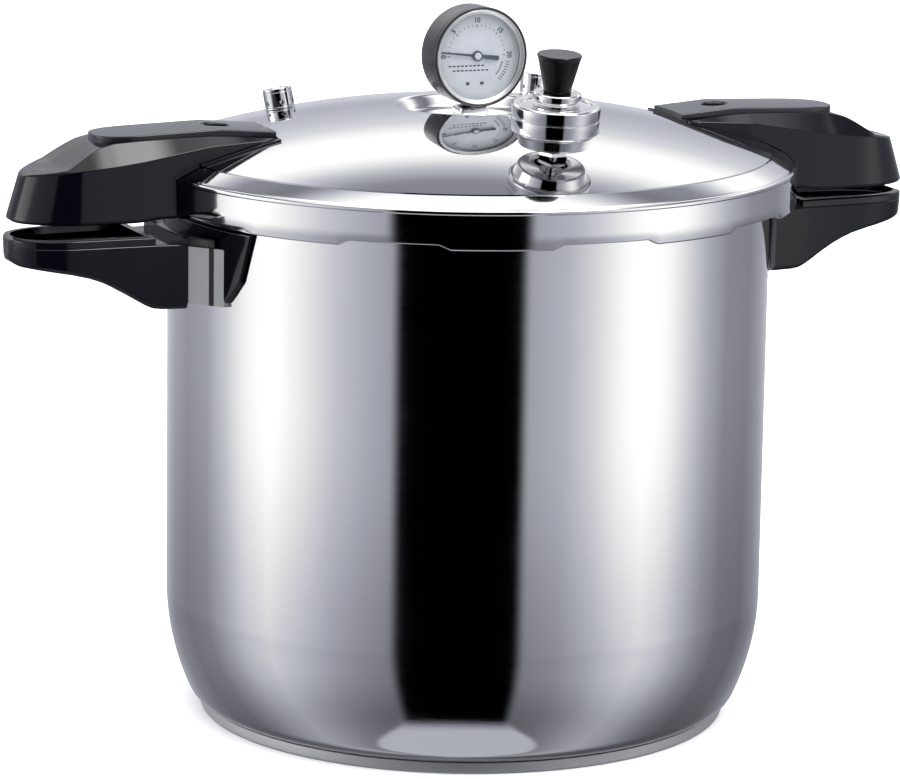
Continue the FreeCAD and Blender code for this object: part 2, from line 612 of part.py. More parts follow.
def make_gauge_case():
    case = new_body("gauge_case")
    inner = "case_radius - case_wall"
    revolve(case, [
        ("0", "-case_back"), ("case_radius - 1.5", "-case_back", "1.5"), ("case_radius", "-case_back + 1.5"),
        ("case_radius", "case_front - 0.6", "0.6"), ("case_radius - 0.6", "case_front"),
        (inner, "case_front"), (inner, "-case_back + case_wall"), ("0", "-case_back + case_wall"),
    ])
    # slot in the bottom of the case for the stem
    cut(case, "XZ_Plane", [("-6.2", "-4.2"), ("6.2", "-4.2"), ("6.2", "4.2"), ("-6.2", "4.2")], "10",
        offset="18", backward=True)
    keep(face_forward(case))
    bezel = new_body("gauge_bezel")
    revolve(bezel, [
        ("case_radius - 3.4", "11.15"), ("case_radius - 1.25", "11.15"),
        ("case_radius - 1.25", "case_front - 0.3"), ("case_radius - 1.8", "case_front"), ("case_radius - 3.4", "11.9"),
    ])
    keep(face_forward(bezel))
    lens = new_body("gauge_lens")
    revolve(lens, [("0", "10"), ("case_radius - 1.3", "10"), ("case_radius - 1.3", "11.1"), ("0", "11.1")])
    keep(face_forward(lens))
    dial = new_body("gauge_dial")
    revolve(dial, [("1.6", "dial_level"), ("dial_radius", "dial_level"), ("dial_radius", "dial_level + 0.6"),
                   ("1.6", "dial_level + 0.6")])
    keep(face_forward(dial))


def make_gauge_pointer():
    pointer = new_body("gauge_pointer")
    revolve(pointer, [
        ("0", "2"), ("0.8", "2"), ("0.8", "7.4"), ("hub_radius", "7.4"), ("hub_radius", "9", "0.4"),
        ("hub_radius - 0.4", "9.4"), ("0", "9.4"),
    ])
    raise_pad(pointer, "XY_Plane", [
        ("-pointer_reach", "-0.4"), ("-2", "-0.65"), ("2", "-0.9"), ("tail_reach", "-1.2"),
        ("tail_reach", "1.2"), ("2", "0.9"), ("-2", "0.65"), ("-pointer_reach", "0.4"),
    ], "0.5", offset="pointer_level")
    face_forward(pointer)
    rest = FreeCAD.Rotation(Z_AXIS, -number("pointer_rest"))
    pointer.Placement = pointer.Placement.multiply(FreeCAD.Placement(FreeCAD.Vector(), rest))
    keep(pointer)


def gear_teeth(centre_y, pitch_radius, teeth, first, count):
    """Corners of straight-flanked gear teeth round a centre, from a first tooth angle in degrees."""
    module = SIZES["gear_module"]
    step = 360 / teeth
    tip, root = pitch_radius + 0.8 * module, pitch_radius - 1.15 * module
    corners = []
    for index in range(count):
        middle = first + index * step
        for radius, turn in ((root, -0.30), (tip, -0.10), (tip, 0.10), (root, 0.30)):
            angle = math.radians(middle + turn * step)
            corners.append((f"{radius * math.cos(angle):.5f}", f"{centre_y + radius * math.sin(angle):.5f}"))
    return corners


def make_gauge_movement():
    """Bourdon tube, bearing block, toothed sector and pinion behind the dial."""
    module, full = SIZES["gear_module"], SIZES["sector_teeth_full"]
    pinion_pitch = module * SIZES["pinion_teeth"] / 2
    sector_pitch = module * full / 2
    centre = -(pinion_pitch + sector_pitch)

    pinion = new_body("gauge_pinion")
    teeth = gear_teeth(0, pinion_pitch, SIZES["pinion_teeth"], 0, SIZES["pinion_teeth"])
    raise_pad(pinion, "XY_Plane", teeth, "1.6", offset="1.2")
    cut(pinion, "XY_Plane", None, "3", offset="3.5", circle=("0", "0", "0.8"))
    keep(face_forward(pinion))

    sector = new_body("gauge_sector")
    step = 360 / full
    teeth = gear_teeth(centre, sector_pitch, full, 90 - 6 * step, 8)
    teeth += [("-1.6", f"{centre + 1.2:.4f}"), ("-1.6", f"{centre - 1.2:.4f}"),
              ("1.6", f"{centre - 1.2:.4f}"), ("1.6", f"{centre + 1.2:.4f}")]
    raise_pad(sector, "XY_Plane", teeth, "1", offset="1.5")
    cut(sector, "XY_Plane", None, "3", offset="4", circle=("0", f"{centre:.4f}", "0.66"))
    keep(face_forward(sector))

    block = new_body("gauge_block")
    raise_pad(block, "XY_Plane", [("-3", "-20.8"), ("3", "-20.8"), ("3", "3"), ("-3", "3")], "1.6",
              offset="-1")
    raise_pad(block, "XY_Plane", None, "2.2", offset="0.6", circle=("0", f"{centre:.4f}", "0.6"))
    cut(block, "XY_Plane", None, "4", offset="1", circle=("0", "0", "0.85"))
    keep(face_forward(block))

    make_bourdon_tube()


def make_bourdon_tube():
    tube = new_body("bourdon_tube")
    sketch = sketch_on(tube, "XZ_Plane")
    draw(sketch, [("16.2", "-3.6"), ("17.6", "-3.6"), ("17.6", "0.4"), ("16.2", "0.4")])
    turn = tube.newObject("PartDesign::Revolution", "bourdon_turn")
    turn.Profile = sketch
    turn.ReferenceAxis = (sketch, ["V_Axis"])
    turn.Angle = 250
    put(tube, ("0", "0", "gauge_height"), (1, 0, 0), "90")
    tube.Placement = tube.Placement.multiply(FreeCAD.Placement(FreeCAD.Vector(), Z_AXIS, -65))
    keep(tube)


def make_gauge_stem():
    stem = new_body("gauge_stem")
    raise_pad(stem, "XY_Plane", [
        ("-stem_block / 2", "-stem_depth / 2"), ("stem_block / 2", "-stem_depth / 2"),
        ("stem_block / 2", "stem_depth / 2"), ("-stem_block / 2", "stem_depth / 2"),
    ], "stem_top - recess_floor - 0.1", offset="recess_floor + 0.1")
    raise_pad(stem, "XY_Plane", [("-5.9", "-3.9"), ("5.9", "-3.9"), ("5.9", "3.9"), ("-5.9", "3.9")],
              "4.4", offset="stem_top - 0.2")
    raise_pad(stem, "XY_Plane", None, "recess_floor + 0.2 - shank_low", offset="shank_low",
              circle=("0", "0", "shank_radius"))
    cut(stem, "XY_Plane", None, "20", offset="shank_low - 1", circle=("0", "0", "1.5"), backward=True)
    keep(stem)
    washer_and_nut("gauge", "shank_radius", "9", "15", None, "recess_floor - wall")


def washer_and_nut(name, shank, washer, flats, place, top):
    """Rubber washer and hexagon nut under the lid."""
    ring = new_body(f"{name}_washer")
    revolve(ring, [(f"{shank} + 0.1", f"{top} - 1.5"), (washer, f"{top} - 1.5"), (washer, f"{top} - 0.12"),
                   (f"{shank} + 0.1", f"{top} - 0.12")])
    nut = new_body(f"{name}_nut")
    raise_pad(nut, "XY_Plane", hexagon(flats), "4", offset=f"{top} - 5.6")
    cut(nut, "XY_Plane", None, "8", offset=f"{top}", circle=("0", "0", f"{shank} + 0.05"))
    for item in (ring, nut):
        if place:
            stand_on_lid(item, place)
        keep(item)


# ---------------------------------------------------------------- vent pipe and regulator weight
def make_vent():
    pipe = new_body("vent_pipe")
    revolve(pipe, [
        ("pipe_bore", "-12"), ("4", "-12"), ("4", "-8"), ("7", "-8"), ("7", "-5.5"), ("pipe_radius", "-5.5"),
        ("pipe_radius", "pipe_top - 1.2"), ("1.3", "pipe_top"), ("pipe_bore", "pipe_top"),
    ])
    keep(stand_on_lid(pipe, "vent"))
    nut = new_body("vent_nut")
    raise_pad(nut, "XY_Plane", hexagon("13"), "1.6", offset="1.1")
    cut(nut, "XY_Plane", None, "6", offset="4", circle=("0", "0", "pipe_radius + 0.05"))
    keep(stand_on_lid(nut, "vent"))
    ring = new_body("vent_washer_blank")
    revolve(ring, [("pipe_radius + 0.1", "-5.4"), ("6.6", "-5.4"), ("6.6", "2"), ("pipe_radius + 0.1", "2")])
    stand_on_lid(ring, "vent")
    hollow = doc.addObject("Part::Sphere", "lid_underside")
    bind(hollow, "Radius", "dome_radius - wall - 0.1")
    put(hollow, ("0", "0", "dome_top - dome_radius"))
    washer = doc.addObject("Part::Common", "vent_washer")
    washer.Base = ring
    washer.Tool = hollow
    keep(washer, "vent_washer")


def make_weight():
    low, top, radius = "weight_low", "weight_top", "weight_radius"
    body = new_body("weight_body")
    revolve(body, [
        ("weight_bore", f"{low} + 3.2"), ("6", f"{low} + 3.2"), ("15.4", low), ("16.2", low, "0.7"),
        ("16.8", f"{low} + 0.6"), ("18.2", f"{low} + 4.8"), ("18.7", f"{low} + 6"), ("19.6", f"{low} + 6.2"),
        (radius, f"{low} + 7.4"), (radius, "19.1"), (f"{radius} - 0.35", "19.3"),
        (f"{radius} - 0.35", "19.7"), (radius, "19.9"), (radius, f"{top} - 0.8"), (f"{radius} - 0.6", top), ("16.8", top),
        ("16.4", f"{top} - 0.9"), ("3", f"{top} - 0.9"), ("3", "21"), ("1.7", "21"), ("1.7", "14"),
        ("weight_bore", "12.9"),
    ])
    keep(stand_on_lid(body, "vent"))
    collar = new_body("weight_collar")
    floor = f"{top} - 0.8"
    revolve(collar, [
        ("0", "21.4"), ("2.9", "21.4"), ("2.9", floor), ("11", floor), ("11", f"{top} + 1.7"),
        ("collar_ring", f"{top} + 2.1"), ("collar_ring", f"{top} + 5"), ("collar_ring - 0.6", f"{top} + 5.6"),
        ("7.6", f"{top} + 5.6"), ("7.2", f"{top} + 4.4"), ("2", f"{top} + 4.4"), ("2", "42"), ("0", "42"),
    ])
    keep(stand_on_lid(collar, "vent"))
    knob = new_body("weight_knob")
    foot = f"{top} + 4.5"
    revolve(knob, [
        ("2.1", foot), ("knob_foot", foot), ("knob_foot + 0.3", f"{foot} + 3", "-90"),
        ("knob_crown - 0.4", "knob_top - 1.8", "0.9"), ("knob_crown - 1.3", "knob_top - 0.3"),
        ("0", "knob_top"), ("0", "43"), ("2.1", "43"),
    ])
    keep(stand_on_lid(knob, "vent"))


# ---------------------------------------------------------------- safety valves
def make_valve(name):
    radius, height, shank = "valve_radius", "valve_height", "valve_shank"
    seat_body = new_body(f"{name}_seat")
    revolve(seat_body, [
        ("1.5", "-9"), (shank, "-9"), (shank, "0.1"), (radius, "0.1"), (radius, "1.1"), ("6", "1.1"),
        ("6", "2.1"), ("3", "2.1"), ("1.5", "1.4"),
    ])
    cap = new_body(f"{name}_cap")
    revolve(cap, [
        ("6.1", "1.2"), (radius, "1.2"), (radius, f"{height} - 1", "1"), (f"{radius} - 1", height),
        ("0", height), ("0", f"{height} - 1.3"), ("6.1", f"{height} - 1.3"),
    ])
    hole = cut(cap, "YZ_Plane", None, "12", circle=("0", "3.3", "1.1"), backward=True)
    repeat(cap, hole, "6")
    poppet = new_body(f"{name}_poppet")
    revolve(poppet, [
        ("0", "1"), ("1.2", "1"), ("1.3", "1.6"), ("2.7", "2.3"), ("4.6", "2.3"), ("4.6", "3.3"),
        ("1.6", "3.3"), ("1.6", "6.2"), ("0", "6.2"),
    ])
    coil = new_body(f"{name}_spring")
    sketch = sketch_on(coil, "XZ_Plane")
    draw_circle(sketch, "3", "3.75", "0.4")
    helix = coil.newObject("PartDesign::AdditiveHelix", f"{name}_helix")
    helix.Profile = sketch
    helix.ReferenceAxis = (sketch, ["V_Axis"])
    helix.Mode = 0
    helix.Pitch = 1.5
    helix.Height = 4.6
    for item in (seat_body, cap, poppet, coil):
        keep(stand_on_lid(item, name))
    washer_and_nut(name, shank, "7", "12", name, "-wall - 0.05")


# ---------------------------------------------------------------- the whole canner
make_pot_shell()
make_pot_rim()
make_base()
for side in SIDES:
    make_pot_handle(side)
    make_pot_screw(side)
make_rack()
make_gasket()
make_lid_shell()
for side in SIDES:
    make_lid_grip(side)
make_gauge_case()
make_gauge_pointer()
make_gauge_movement()
make_gauge_stem()
make_vent()
make_weight()
for valve in ("valve_a", "valve_b"):
    make_valve(valve)
doc.recompute()

broken = [item.Label for item in doc.Objects if {"Invalid", "Error"} & set(item.State)]
broken += [item.Label for item in nodes if item.Shape.isNull() or not item.Shape.isValid()]
if broken:
    raise ValueError(f"failed objects: {sorted(set(broken))}")

os.makedirs("parts", exist_ok=True)
for item in nodes:
    item.Shape.exportStep(f"parts/{item.Label}.step")
    print(f"{item.Label}: {len(item.Shape.Solids)} solid, {item.Shape.Volume / 1000:.2f} cm3")
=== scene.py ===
"""Looks of the pressure canner: polished steel pot and lid, black moulded handles, gauge, weight and valves.

Metres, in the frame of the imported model: +Z up, handles along X, the gauge faces -Y.
Each piece is turned, lofted or extruded in mesh code and stands where its CAD node is.
"""

import json
import math

import bmesh
import bpy
from mathutils import Matrix, Vector


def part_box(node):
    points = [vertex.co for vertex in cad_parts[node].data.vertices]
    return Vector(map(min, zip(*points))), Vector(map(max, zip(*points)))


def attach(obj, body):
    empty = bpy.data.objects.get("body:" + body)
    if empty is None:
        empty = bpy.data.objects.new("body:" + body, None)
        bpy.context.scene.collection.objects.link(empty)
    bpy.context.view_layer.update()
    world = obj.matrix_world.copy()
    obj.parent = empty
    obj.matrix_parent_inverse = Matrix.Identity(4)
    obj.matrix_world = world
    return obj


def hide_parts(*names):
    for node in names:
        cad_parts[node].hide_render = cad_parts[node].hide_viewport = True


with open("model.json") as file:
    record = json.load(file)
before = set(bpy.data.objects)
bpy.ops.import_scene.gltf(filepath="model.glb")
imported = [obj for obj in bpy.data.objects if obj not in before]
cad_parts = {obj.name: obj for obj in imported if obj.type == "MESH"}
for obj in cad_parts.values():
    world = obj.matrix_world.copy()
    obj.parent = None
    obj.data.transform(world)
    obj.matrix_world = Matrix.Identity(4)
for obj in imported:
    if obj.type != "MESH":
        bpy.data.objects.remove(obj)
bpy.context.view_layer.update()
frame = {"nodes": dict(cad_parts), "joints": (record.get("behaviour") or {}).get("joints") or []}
JOINTS = {joint["name"]: joint for joint in frame["joints"]}
MM = 0.001
SIDES = {"right": 1, "left": -1}


def low(node):
    """Lowest corner of a CAD node, in millimetres."""
    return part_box(node)[0] / MM


def high(node):
    """Highest corner of a CAD node, in millimetres."""
    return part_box(node)[1] / MM


# driving sizes, in millimetres
POT_RADIUS = high("pot_shell").y
POT_TOP = high("pot_shell").z
WALL = 2.0
BASE_RADIUS = high("base_cap").x
CAP_TOP = high("base_cap").z
SHELL_FLOOR = low("pot_shell").z
BEAD_RADIUS = high("lid_shell").y
LUG_LOW = low("lid_shell").z
DOME_RADIUS = 511.0
DOME_TOP = 308.0
DOME_CENTRE = DOME_TOP - DOME_RADIUS
SEAM_RADIUS = 150.3
RECESS_FLOOR = low("gauge_stem").z + 13.0
LUGS = 10
GAUGE_HEIGHT = JOINTS["pointer_turn"]["pos_m"][2] / MM
CASE_RADIUS = (high("gauge_case").x - low("gauge_case").x) / 2


def dome_height(radius, sheet=0.0):
    return DOME_CENTRE + math.sqrt((DOME_RADIUS - sheet) ** 2 - radius ** 2)


# ---------------------------------------------------------------- mesh helpers
def smoothstep(value):
    value = min(max(value, 0.0), 1.0)
    return value * value * (3 - 2 * value)


def mix(a, b, share):
    return a + (b - a) * share


def rounded(corners, closed=False, steps=6):
    """Points of an outline of corners (x, y, radius), each corner rounded by its radius."""
    points = []
    count = len(corners)
    for index, corner in enumerate(corners):
        here = Vector(corner[:2])
        radius = corner[2] if len(corner) > 2 else 0.0
        at_end = not closed and index in (0, count - 1)
        if radius <= 0 or at_end:
            points.append(here)
            continue
        before = Vector(corners[index - 1][:2])
        after = Vector(corners[(index + 1) % count][:2])
        back, ahead = (before - here), (after - here)
        back_length, ahead_length = back.length, ahead.length
        back.normalize()
        ahead.normalize()
        half = math.acos(max(-1.0, min(1.0, back.dot(ahead)))) / 2
        if half > math.radians(89.5):
            points.append(here)
            continue
        reach = min(radius / math.tan(half), 0.49 * back_length, 0.49 * ahead_length)
        real = reach * math.tan(half)
        centre = here + (back + ahead).normalized() * (real / math.sin(half))
        start = here + back * reach - centre
        stop = here + ahead * reach - centre
        sweep = start.angle_signed(stop)
        for step in range(steps + 1):
            angle = -sweep * step / steps
            c, s = math.cos(angle), math.sin(angle)
            points.append(centre + Vector((start.x * c - start.y * s, start.x * s + start.y * c)))
    return points


def flatten_shading(item):
    """Keeps broad faces flat in the shading, so that only the roundings between them are soft."""
    modifier = item.modifiers.new("even_shading", "WEIGHTED_NORMAL")
    modifier.keep_sharp = True
    modifier.weight = 100


def finish_mesh(name, bm, smooth_angle=32.0, clean=True):
    """Turns a bmesh in millimetres into an object in metres, with smooth shading and crisp edges."""
    if clean:
        bmesh.ops.remove_doubles(bm, verts=bm.verts, dist=1e-4)
        bmesh.ops.recalc_face_normals(bm, faces=bm.faces)
    bmesh.ops.scale(bm, vec=(MM, MM, MM), verts=bm.verts)
    mesh = bpy.data.meshes.new(name)
    bm.to_mesh(mesh)
    bm.free()
    for polygon in mesh.polygons:
        polygon.use_smooth = True
    mesh.set_sharp_from_angle(angle=math.radians(smooth_angle))
    item = bpy.data.objects.new(name, mesh)
    bpy.context.scene.collection.objects.link(item)
    return item


def skin(bm, loops, wrap=True, close_ends=False):
    """Faces between neighbouring loops of vertices; a loop of one vertex is a pole."""
    for first, second in zip(loops, loops[1:]):
        if len(first) == 1 and len(second) == 1:
            continue
        count = max(len(first), len(second))
        for index in range(count if wrap else count - 1):
            following = (index + 1) % count
            if len(first) == 1:
                bm.faces.new((first[0], second[index], second[following]))
            elif len(second) == 1:
                bm.faces.new((first[index], second[0], first[following]))
            else:
                bm.faces.new((first[index], second[index], second[following], first[following]))
    if close_ends:
        bm.faces.new(list(reversed(loops[0])))
        bm.faces.new(loops[-1])


def lathe(name, corners, segments=128, closed=False, steps=6, smooth_angle=32.0):
    """Turns an outline (radius, height, rounding) about Z; a closed outline makes a ring."""
    outline = rounded(corners, closed, steps)
    bm = bmesh.new()
    loops = []
    for radius, height in outline:
        if radius < 1e-6:
            loops.append([bm.verts.new((0, 0, height))])
            continue
        turn = 2 * math.pi / segments
        loops.append([bm.verts.new((radius * math.cos(k * turn), radius * math.sin(k * turn), height))
                      for k in range(segments)])
    skin(bm, loops + loops[:1] if closed else loops)
    return finish_mesh(name, bm, smooth_angle)


def place(item, base=(0, 0, 0), axis=(0, 0, 1)):
    """Moves a piece made on the Z axis to a base point in millimetres, with +Z along the axis."""
    turn = Vector((0, 0, 1)).rotation_difference(Vector(axis)).to_matrix().to_4x4()
    item.data.transform(Matrix.Translation(Vector(base) * MM) @ turn)
    return item


def mirror_half_turn(item, side):
    """Turns a piece made for the right handle to the left one."""
    if side == "left":
        item.data.transform(Matrix.Rotation(math.pi, 4, "Z"))
    return item


def carve(item, *tools):
    """Cuts the tools out of a piece and removes them."""
    for tool in tools:
        modifier = item.modifiers.new("carve", "BOOLEAN")
        modifier.operation = "DIFFERENCE"
        modifier.solver = "EXACT"
        modifier.object = tool
    bpy.context.view_layer.update()
    evaluated = item.evaluated_get(bpy.context.evaluated_depsgraph_get())
    mesh = bpy.data.meshes.new_from_object(evaluated)
    item.modifiers.clear()
    item.data = mesh
    for polygon in mesh.polygons:
        polygon.use_smooth = True
    mesh.set_sharp_from_angle(angle=math.radians(28))
    for tool in tools:
        bpy.data.objects.remove(tool)
    flatten_shading(item)
    return item


def settle(item, body, slot, finish, *nodes):
    """Gives a finished piece its material and its body, and hides the CAD nodes it stands for; the slot is
    not used.
    """
    item.data.materials.clear()
    item.data.materials.append(finish)
    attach(item, body)
    if nodes:
        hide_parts(*nodes)
    return item


# ---------------------------------------------------------------- materials
class Shader:
    """A material with a Principled shader and short ways to add nodes to it."""

    def __init__(self, name, color, metallic=0.0, roughness=0.5, **sockets):
        self.material = bpy.data.materials.new(name)
        self.material.use_nodes = True
        self.nodes = self.material.node_tree.nodes
        self.links = self.material.node_tree.links
        self.principled = self.nodes["Principled BSDF"]
        self.principled.inputs["Base Color"].default_value = (*color, 1.0)
        self.principled.inputs["Metallic"].default_value = metallic
        self.principled.inputs["Roughness"].default_value = roughness
        for socket, value in sockets.items():
            self.principled.inputs[socket.replace("_", " ")].default_value = value
        self.coordinates = self.nodes.new("ShaderNodeTexCoord").outputs["Object"]

    def noise(self, scale, detail=3.0, stretch=(1, 1, 1), roughness=0.55):
        mapping = self.nodes.new("ShaderNodeMapping")
        mapping.inputs["Scale"].default_value = stretch
        texture = self.nodes.new("ShaderNodeTexNoise")
        texture.inputs["Scale"].default_value = scale
        texture.inputs["Detail"].default_value = detail
        texture.inputs["Roughness"].default_value = roughness
        self.links.new(self.coordinates, mapping.inputs["Vector"])
        self.links.new(mapping.outputs["Vector"], texture.inputs["Vector"])
        return texture.outputs["Fac"]

    def spread(self, source, low_value, high_value, start=0.3, stop=0.7):
        node = self.nodes.new("ShaderNodeMapRange")
        node.inputs["From Min"].default_value = start
        node.inputs["From Max"].default_value = stop
        node.inputs["To Min"].default_value = low_value
        node.inputs["To Max"].default_value = high_value
        self.links.new(source, node.inputs["Value"])
        return node.outputs["Result"]

    def drive(self, source, socket):
        self.links.new(source, self.principled.inputs[socket])

    def math(self, operation, first, second):
        node = self.nodes.new("ShaderNodeMath")
        node.operation = operation
        for index, value in enumerate((first, second)):
            if isinstance(value, (int, float)):
                node.inputs[index].default_value = value
            else:
                self.links.new(value, node.inputs[index])
        return node.outputs[0]

    def tint(self, source, dark, light):
        """Base colour that varies between two colours with a source."""
        node = self.nodes.new("ShaderNodeMix")
        node.data_type = "RGBA"
        node.inputs["A"].default_value = (*dark, 1.0)
        node.inputs["B"].default_value = (*light, 1.0)
        self.links.new(source, node.inputs["Factor"])
        self.drive(node.outputs["Result"], "Base Color")

    def bump(self, source, strength, distance):
        node = self.nodes.new("ShaderNodeBump")
        node.inputs["Strength"].default_value = strength
        node.inputs["Distance"].default_value = distance
        self.links.new(source, node.inputs["Height"])
        self.drive(node.outputs["Normal"], "Normal")


def steel(name, shade, smooth, dull, grain=(1, 1, 1), grain_scale=700.0, grain_depth=0.02, smudge_scale=14.0):
    """Stainless steel: a grain of fine polishing lines over broad, faint changes of gloss."""
    shader = Shader(name, (shade, shade, shade * 1.012), metallic=1.0)
    lines = shader.noise(grain_scale, 4.0, grain)
    smudges = shader.noise(smudge_scale, 3.0)
    gloss = shader.math("ADD", shader.spread(smudges, smooth, dull),
                        shader.spread(lines, -0.012, 0.02))
    shader.drive(shader.math("MAXIMUM", gloss, 0.015), "Roughness")
    shader.tint(shader.spread(smudges, 0.0, 1.0), (shade * 0.975,) * 3, (shade, shade, shade * 1.015))
    shader.bump(lines, grain_depth, 0.0002)
    return shader.material


def phenolic(name, color, smooth, dull, coat, ior):
    """Black moulded plastic: a faint orange peel under a glossy skin, with rubbed, duller patches."""
    shader = Shader(name, color, roughness=smooth, Coat_Weight=coat, Coat_Roughness=0.06, IOR=ior)
    patches = shader.noise(24.0, 4.0)
    fine = shader.noise(900.0, 3.0)
    shader.drive(shader.math("ADD", shader.spread(patches, smooth, dull), shader.spread(fine, -0.02, 0.02)),
                 "Roughness")
    lighter = tuple(channel * 1.5 + 0.0005 for channel in color)
    shader.tint(shader.spread(patches, 0.0, 1.0), color, lighter)
    shader.bump(shader.noise(120.0, 2.0), 0.006, 0.0002)
    return shader.material


def rubber(name, color):
    shader = Shader(name, color, roughness=0.6)
    fine = shader.noise(1200.0, 4.0)
    shader.drive(shader.spread(fine, 0.5, 0.72), "Roughness")
    shader.bump(fine, 0.2, 0.0003)
    return shader.material


def enamel(name, color, roughness, dull):
    shader = Shader(name, color, roughness=roughness, Coat_Weight=0.2, Coat_Roughness=0.15)
    patches = shader.noise(120.0, 4.0)
    shader.drive(shader.spread(patches, roughness, dull), "Roughness")
    shader.tint(shader.spread(patches, 0.0, 1.0), color, tuple(min(1.0, c * 1.12 + 0.003) for c in color))
    shader.bump(shader.noise(1500.0, 2.0), 0.06, 0.0002)
    return shader.material


def brass(name):
    shader = Shader(name, (0.78, 0.58, 0.27), metallic=1.0, roughness=0.25)
    fine = shader.noise(900.0, 4.0, (1, 1, 5))
    shader.drive(shader.spread(fine, 0.18, 0.36), "Roughness")
    shader.tint(fine, (0.70, 0.50, 0.22), (0.84, 0.65, 0.33))
    shader.bump(fine, 0.1, 0.0002)
    return shader.material


def clear_glass(name):
    """Thin clear lens: nearly everything passes, and the gloss grows as it is seen more from the side."""
    shader = Shader(name, (0.9, 0.95, 1.0), roughness=0.03)
    nodes, links = shader.nodes, shader.links
    through = nodes.new("ShaderNodeBsdfTransparent")
    through.inputs["Color"].default_value = (0.90, 0.905, 0.915, 1.0)
    gloss = nodes.new("ShaderNodeBsdfGlossy")
    gloss.inputs["Roughness"].default_value = 0.02
    slant = shader.math("POWER", nodes.new("ShaderNodeLayerWeight").outputs["Facing"], 5.0)
    blend = nodes.new("ShaderNodeMixShader")
    links.new(shader.math("ADD", shader.math("MULTIPLY", slant, 0.966), 0.034), blend.inputs["Fac"])
    links.new(through.outputs["BSDF"], blend.inputs[1])
    links.new(gloss.outputs["BSDF"], blend.inputs[2])
    output = [node for node in nodes if node.type == "OUTPUT_MATERIAL"][0]
    links.new(blend.outputs["Shader"], output.inputs["Surface"])
    return shader.material


ROUND_THE_POT = (1, 1, 30)
FINISH = {
    "body": steel("polished_body", 0.72, 0.055, 0.09, ROUND_THE_POT, 60.0, 0.035),
    "dome": steel("polished_dome", 0.72, 0.03, 0.05, (1, 1, 1), 300.0, 0.008),
    "rim": steel("polished_rim", 0.74, 0.045, 0.075, ROUND_THE_POT, 60.0, 0.03),
    "fitting": steel("turned_steel", 0.74, 0.04, 0.09, (1, 1, 12), 220.0, 0.03, 90.0),
    "base": steel("brushed_base", 0.60, 0.60, 0.70, (1, 1, 40), 60.0, 0.1),
    "brushed": steel("brushed_steel", 0.62, 0.42, 0.52, (1, 1, 40), 60.0, 0.12),
    "plate": steel("bracket_steel", 0.40, 0.3, 0.42, (1, 1, 0.08), 900.0, 0.12, 60.0),
    "pressed": steel("pressed_aluminium", 0.78, 0.28, 0.4, (1, 1, 1), 500.0, 0.08),
    "bolt": steel("plain_steel", 0.55, 0.22, 0.36, (1, 1, 1), 600.0, 0.06, 80.0),
    "satin": steel("satin_ring", 0.9, 0.4, 0.5, (1, 1, 1), 500.0, 0.05, 80.0),
    "handle": phenolic("black_phenolic", (0.0006, 0.0008, 0.0018), 0.06, 0.11, 0.0, 1.42),
    "pad": phenolic("rubbed_phenolic", (0.006, 0.006, 0.008), 0.13, 0.2, 0.0, 1.56),
    "knob": phenolic("satin_knob", (0.0012, 0.0011, 0.0013), 0.10, 0.17, 0.0, 1.38),
    "rubber": rubber("seal_rubber", (0.035, 0.035, 0.038)),
    "case": enamel("gauge_enamel", (0.010, 0.009, 0.012), 0.16, 0.24),
    "dial": enamel("dial_white", (0.57, 0.59, 0.62), 0.55, 0.65),
    "print": enamel("dial_print", (0.03, 0.035, 0.05), 0.5, 0.6),
    "pointer": enamel("pointer_enamel", (0.03, 0.045, 0.075), 0.3, 0.4),
    "brass": brass("movement_brass"),
    "glass": clear_glass("gauge_glass"),
}


def arc(start, stop, radius, steps):
    """Points of an arc that bends left on its way from start to stop, or right if the radius is negative."""
    start, stop = Vector(start), Vector(stop)
    chord = stop - start
    side = Vector((-chord.y, chord.x)).normalized()
    rise = math.copysign(math.sqrt(radius ** 2 - chord.length_squared / 4), radius)
    centre = (start + stop) / 2 + side * rise
    first, last = start - centre, stop - centre
    sweep = -first.angle_signed(last)
    points = []
    for step in range(steps + 1):
        c, s = math.cos(sweep * step / steps), math.sin(sweep * step / steps)
        points.append((centre.x + first.x * c - first.y * s, centre.y + first.x * s + first.y * c))
    return points


# ---------------------------------------------------------------- pot
def build_pot():
    inner = POT_RADIUS - WALL
    foot, turn, turn_inside, straight = 128.06, (138.97, 12.32), (137.15, 13.15), 63
    corner_radius, foot_radius = 122, 12
    outside = arc((foot, SHELL_FLOOR), turn, foot_radius, 12)
    outside += arc(turn, (POT_RADIUS, straight), corner_radius, 40)
    inside = arc((inner, straight), turn_inside, WALL - corner_radius, 30)
    inside += arc(turn_inside, (foot, SHELL_FLOOR + WALL), WALL - foot_radius, 10)
    shell = lathe("pot_wall", [
        (0, SHELL_FLOOR), *outside, (POT_RADIUS, POT_TOP, 0.9), (inner, POT_TOP, 0.9), *inside,
        (0, SHELL_FLOOR + WALL),
    ], segments=360)
    settle(shell, "pot", "polished_steel", FINISH["body"], "pot_shell")
    cap = lathe("base_cup", [
        (0, 0), (BASE_RADIUS, 0, 1.4), (BASE_RADIUS, CAP_TOP, 0.35), (BASE_RADIUS - 1, CAP_TOP, 0.2),
        (BASE_RADIUS - 1, 1), (0, 1),
    ], segments=360)
    settle(cap, "pot", "brushed_steel", FINISH["base"], "base_cap")


# ---------------------------------------------------------------- lid
def lug_share(angle):
    """1 along a lug of the lid's rim, 0 along a gap, with a slanted step between."""
    pitch = 360 / LUGS
    offset = abs((angle + pitch / 2) % pitch - pitch / 2)
    return min(max((10.5 - offset) / 2.0, 0.0), 1.0)


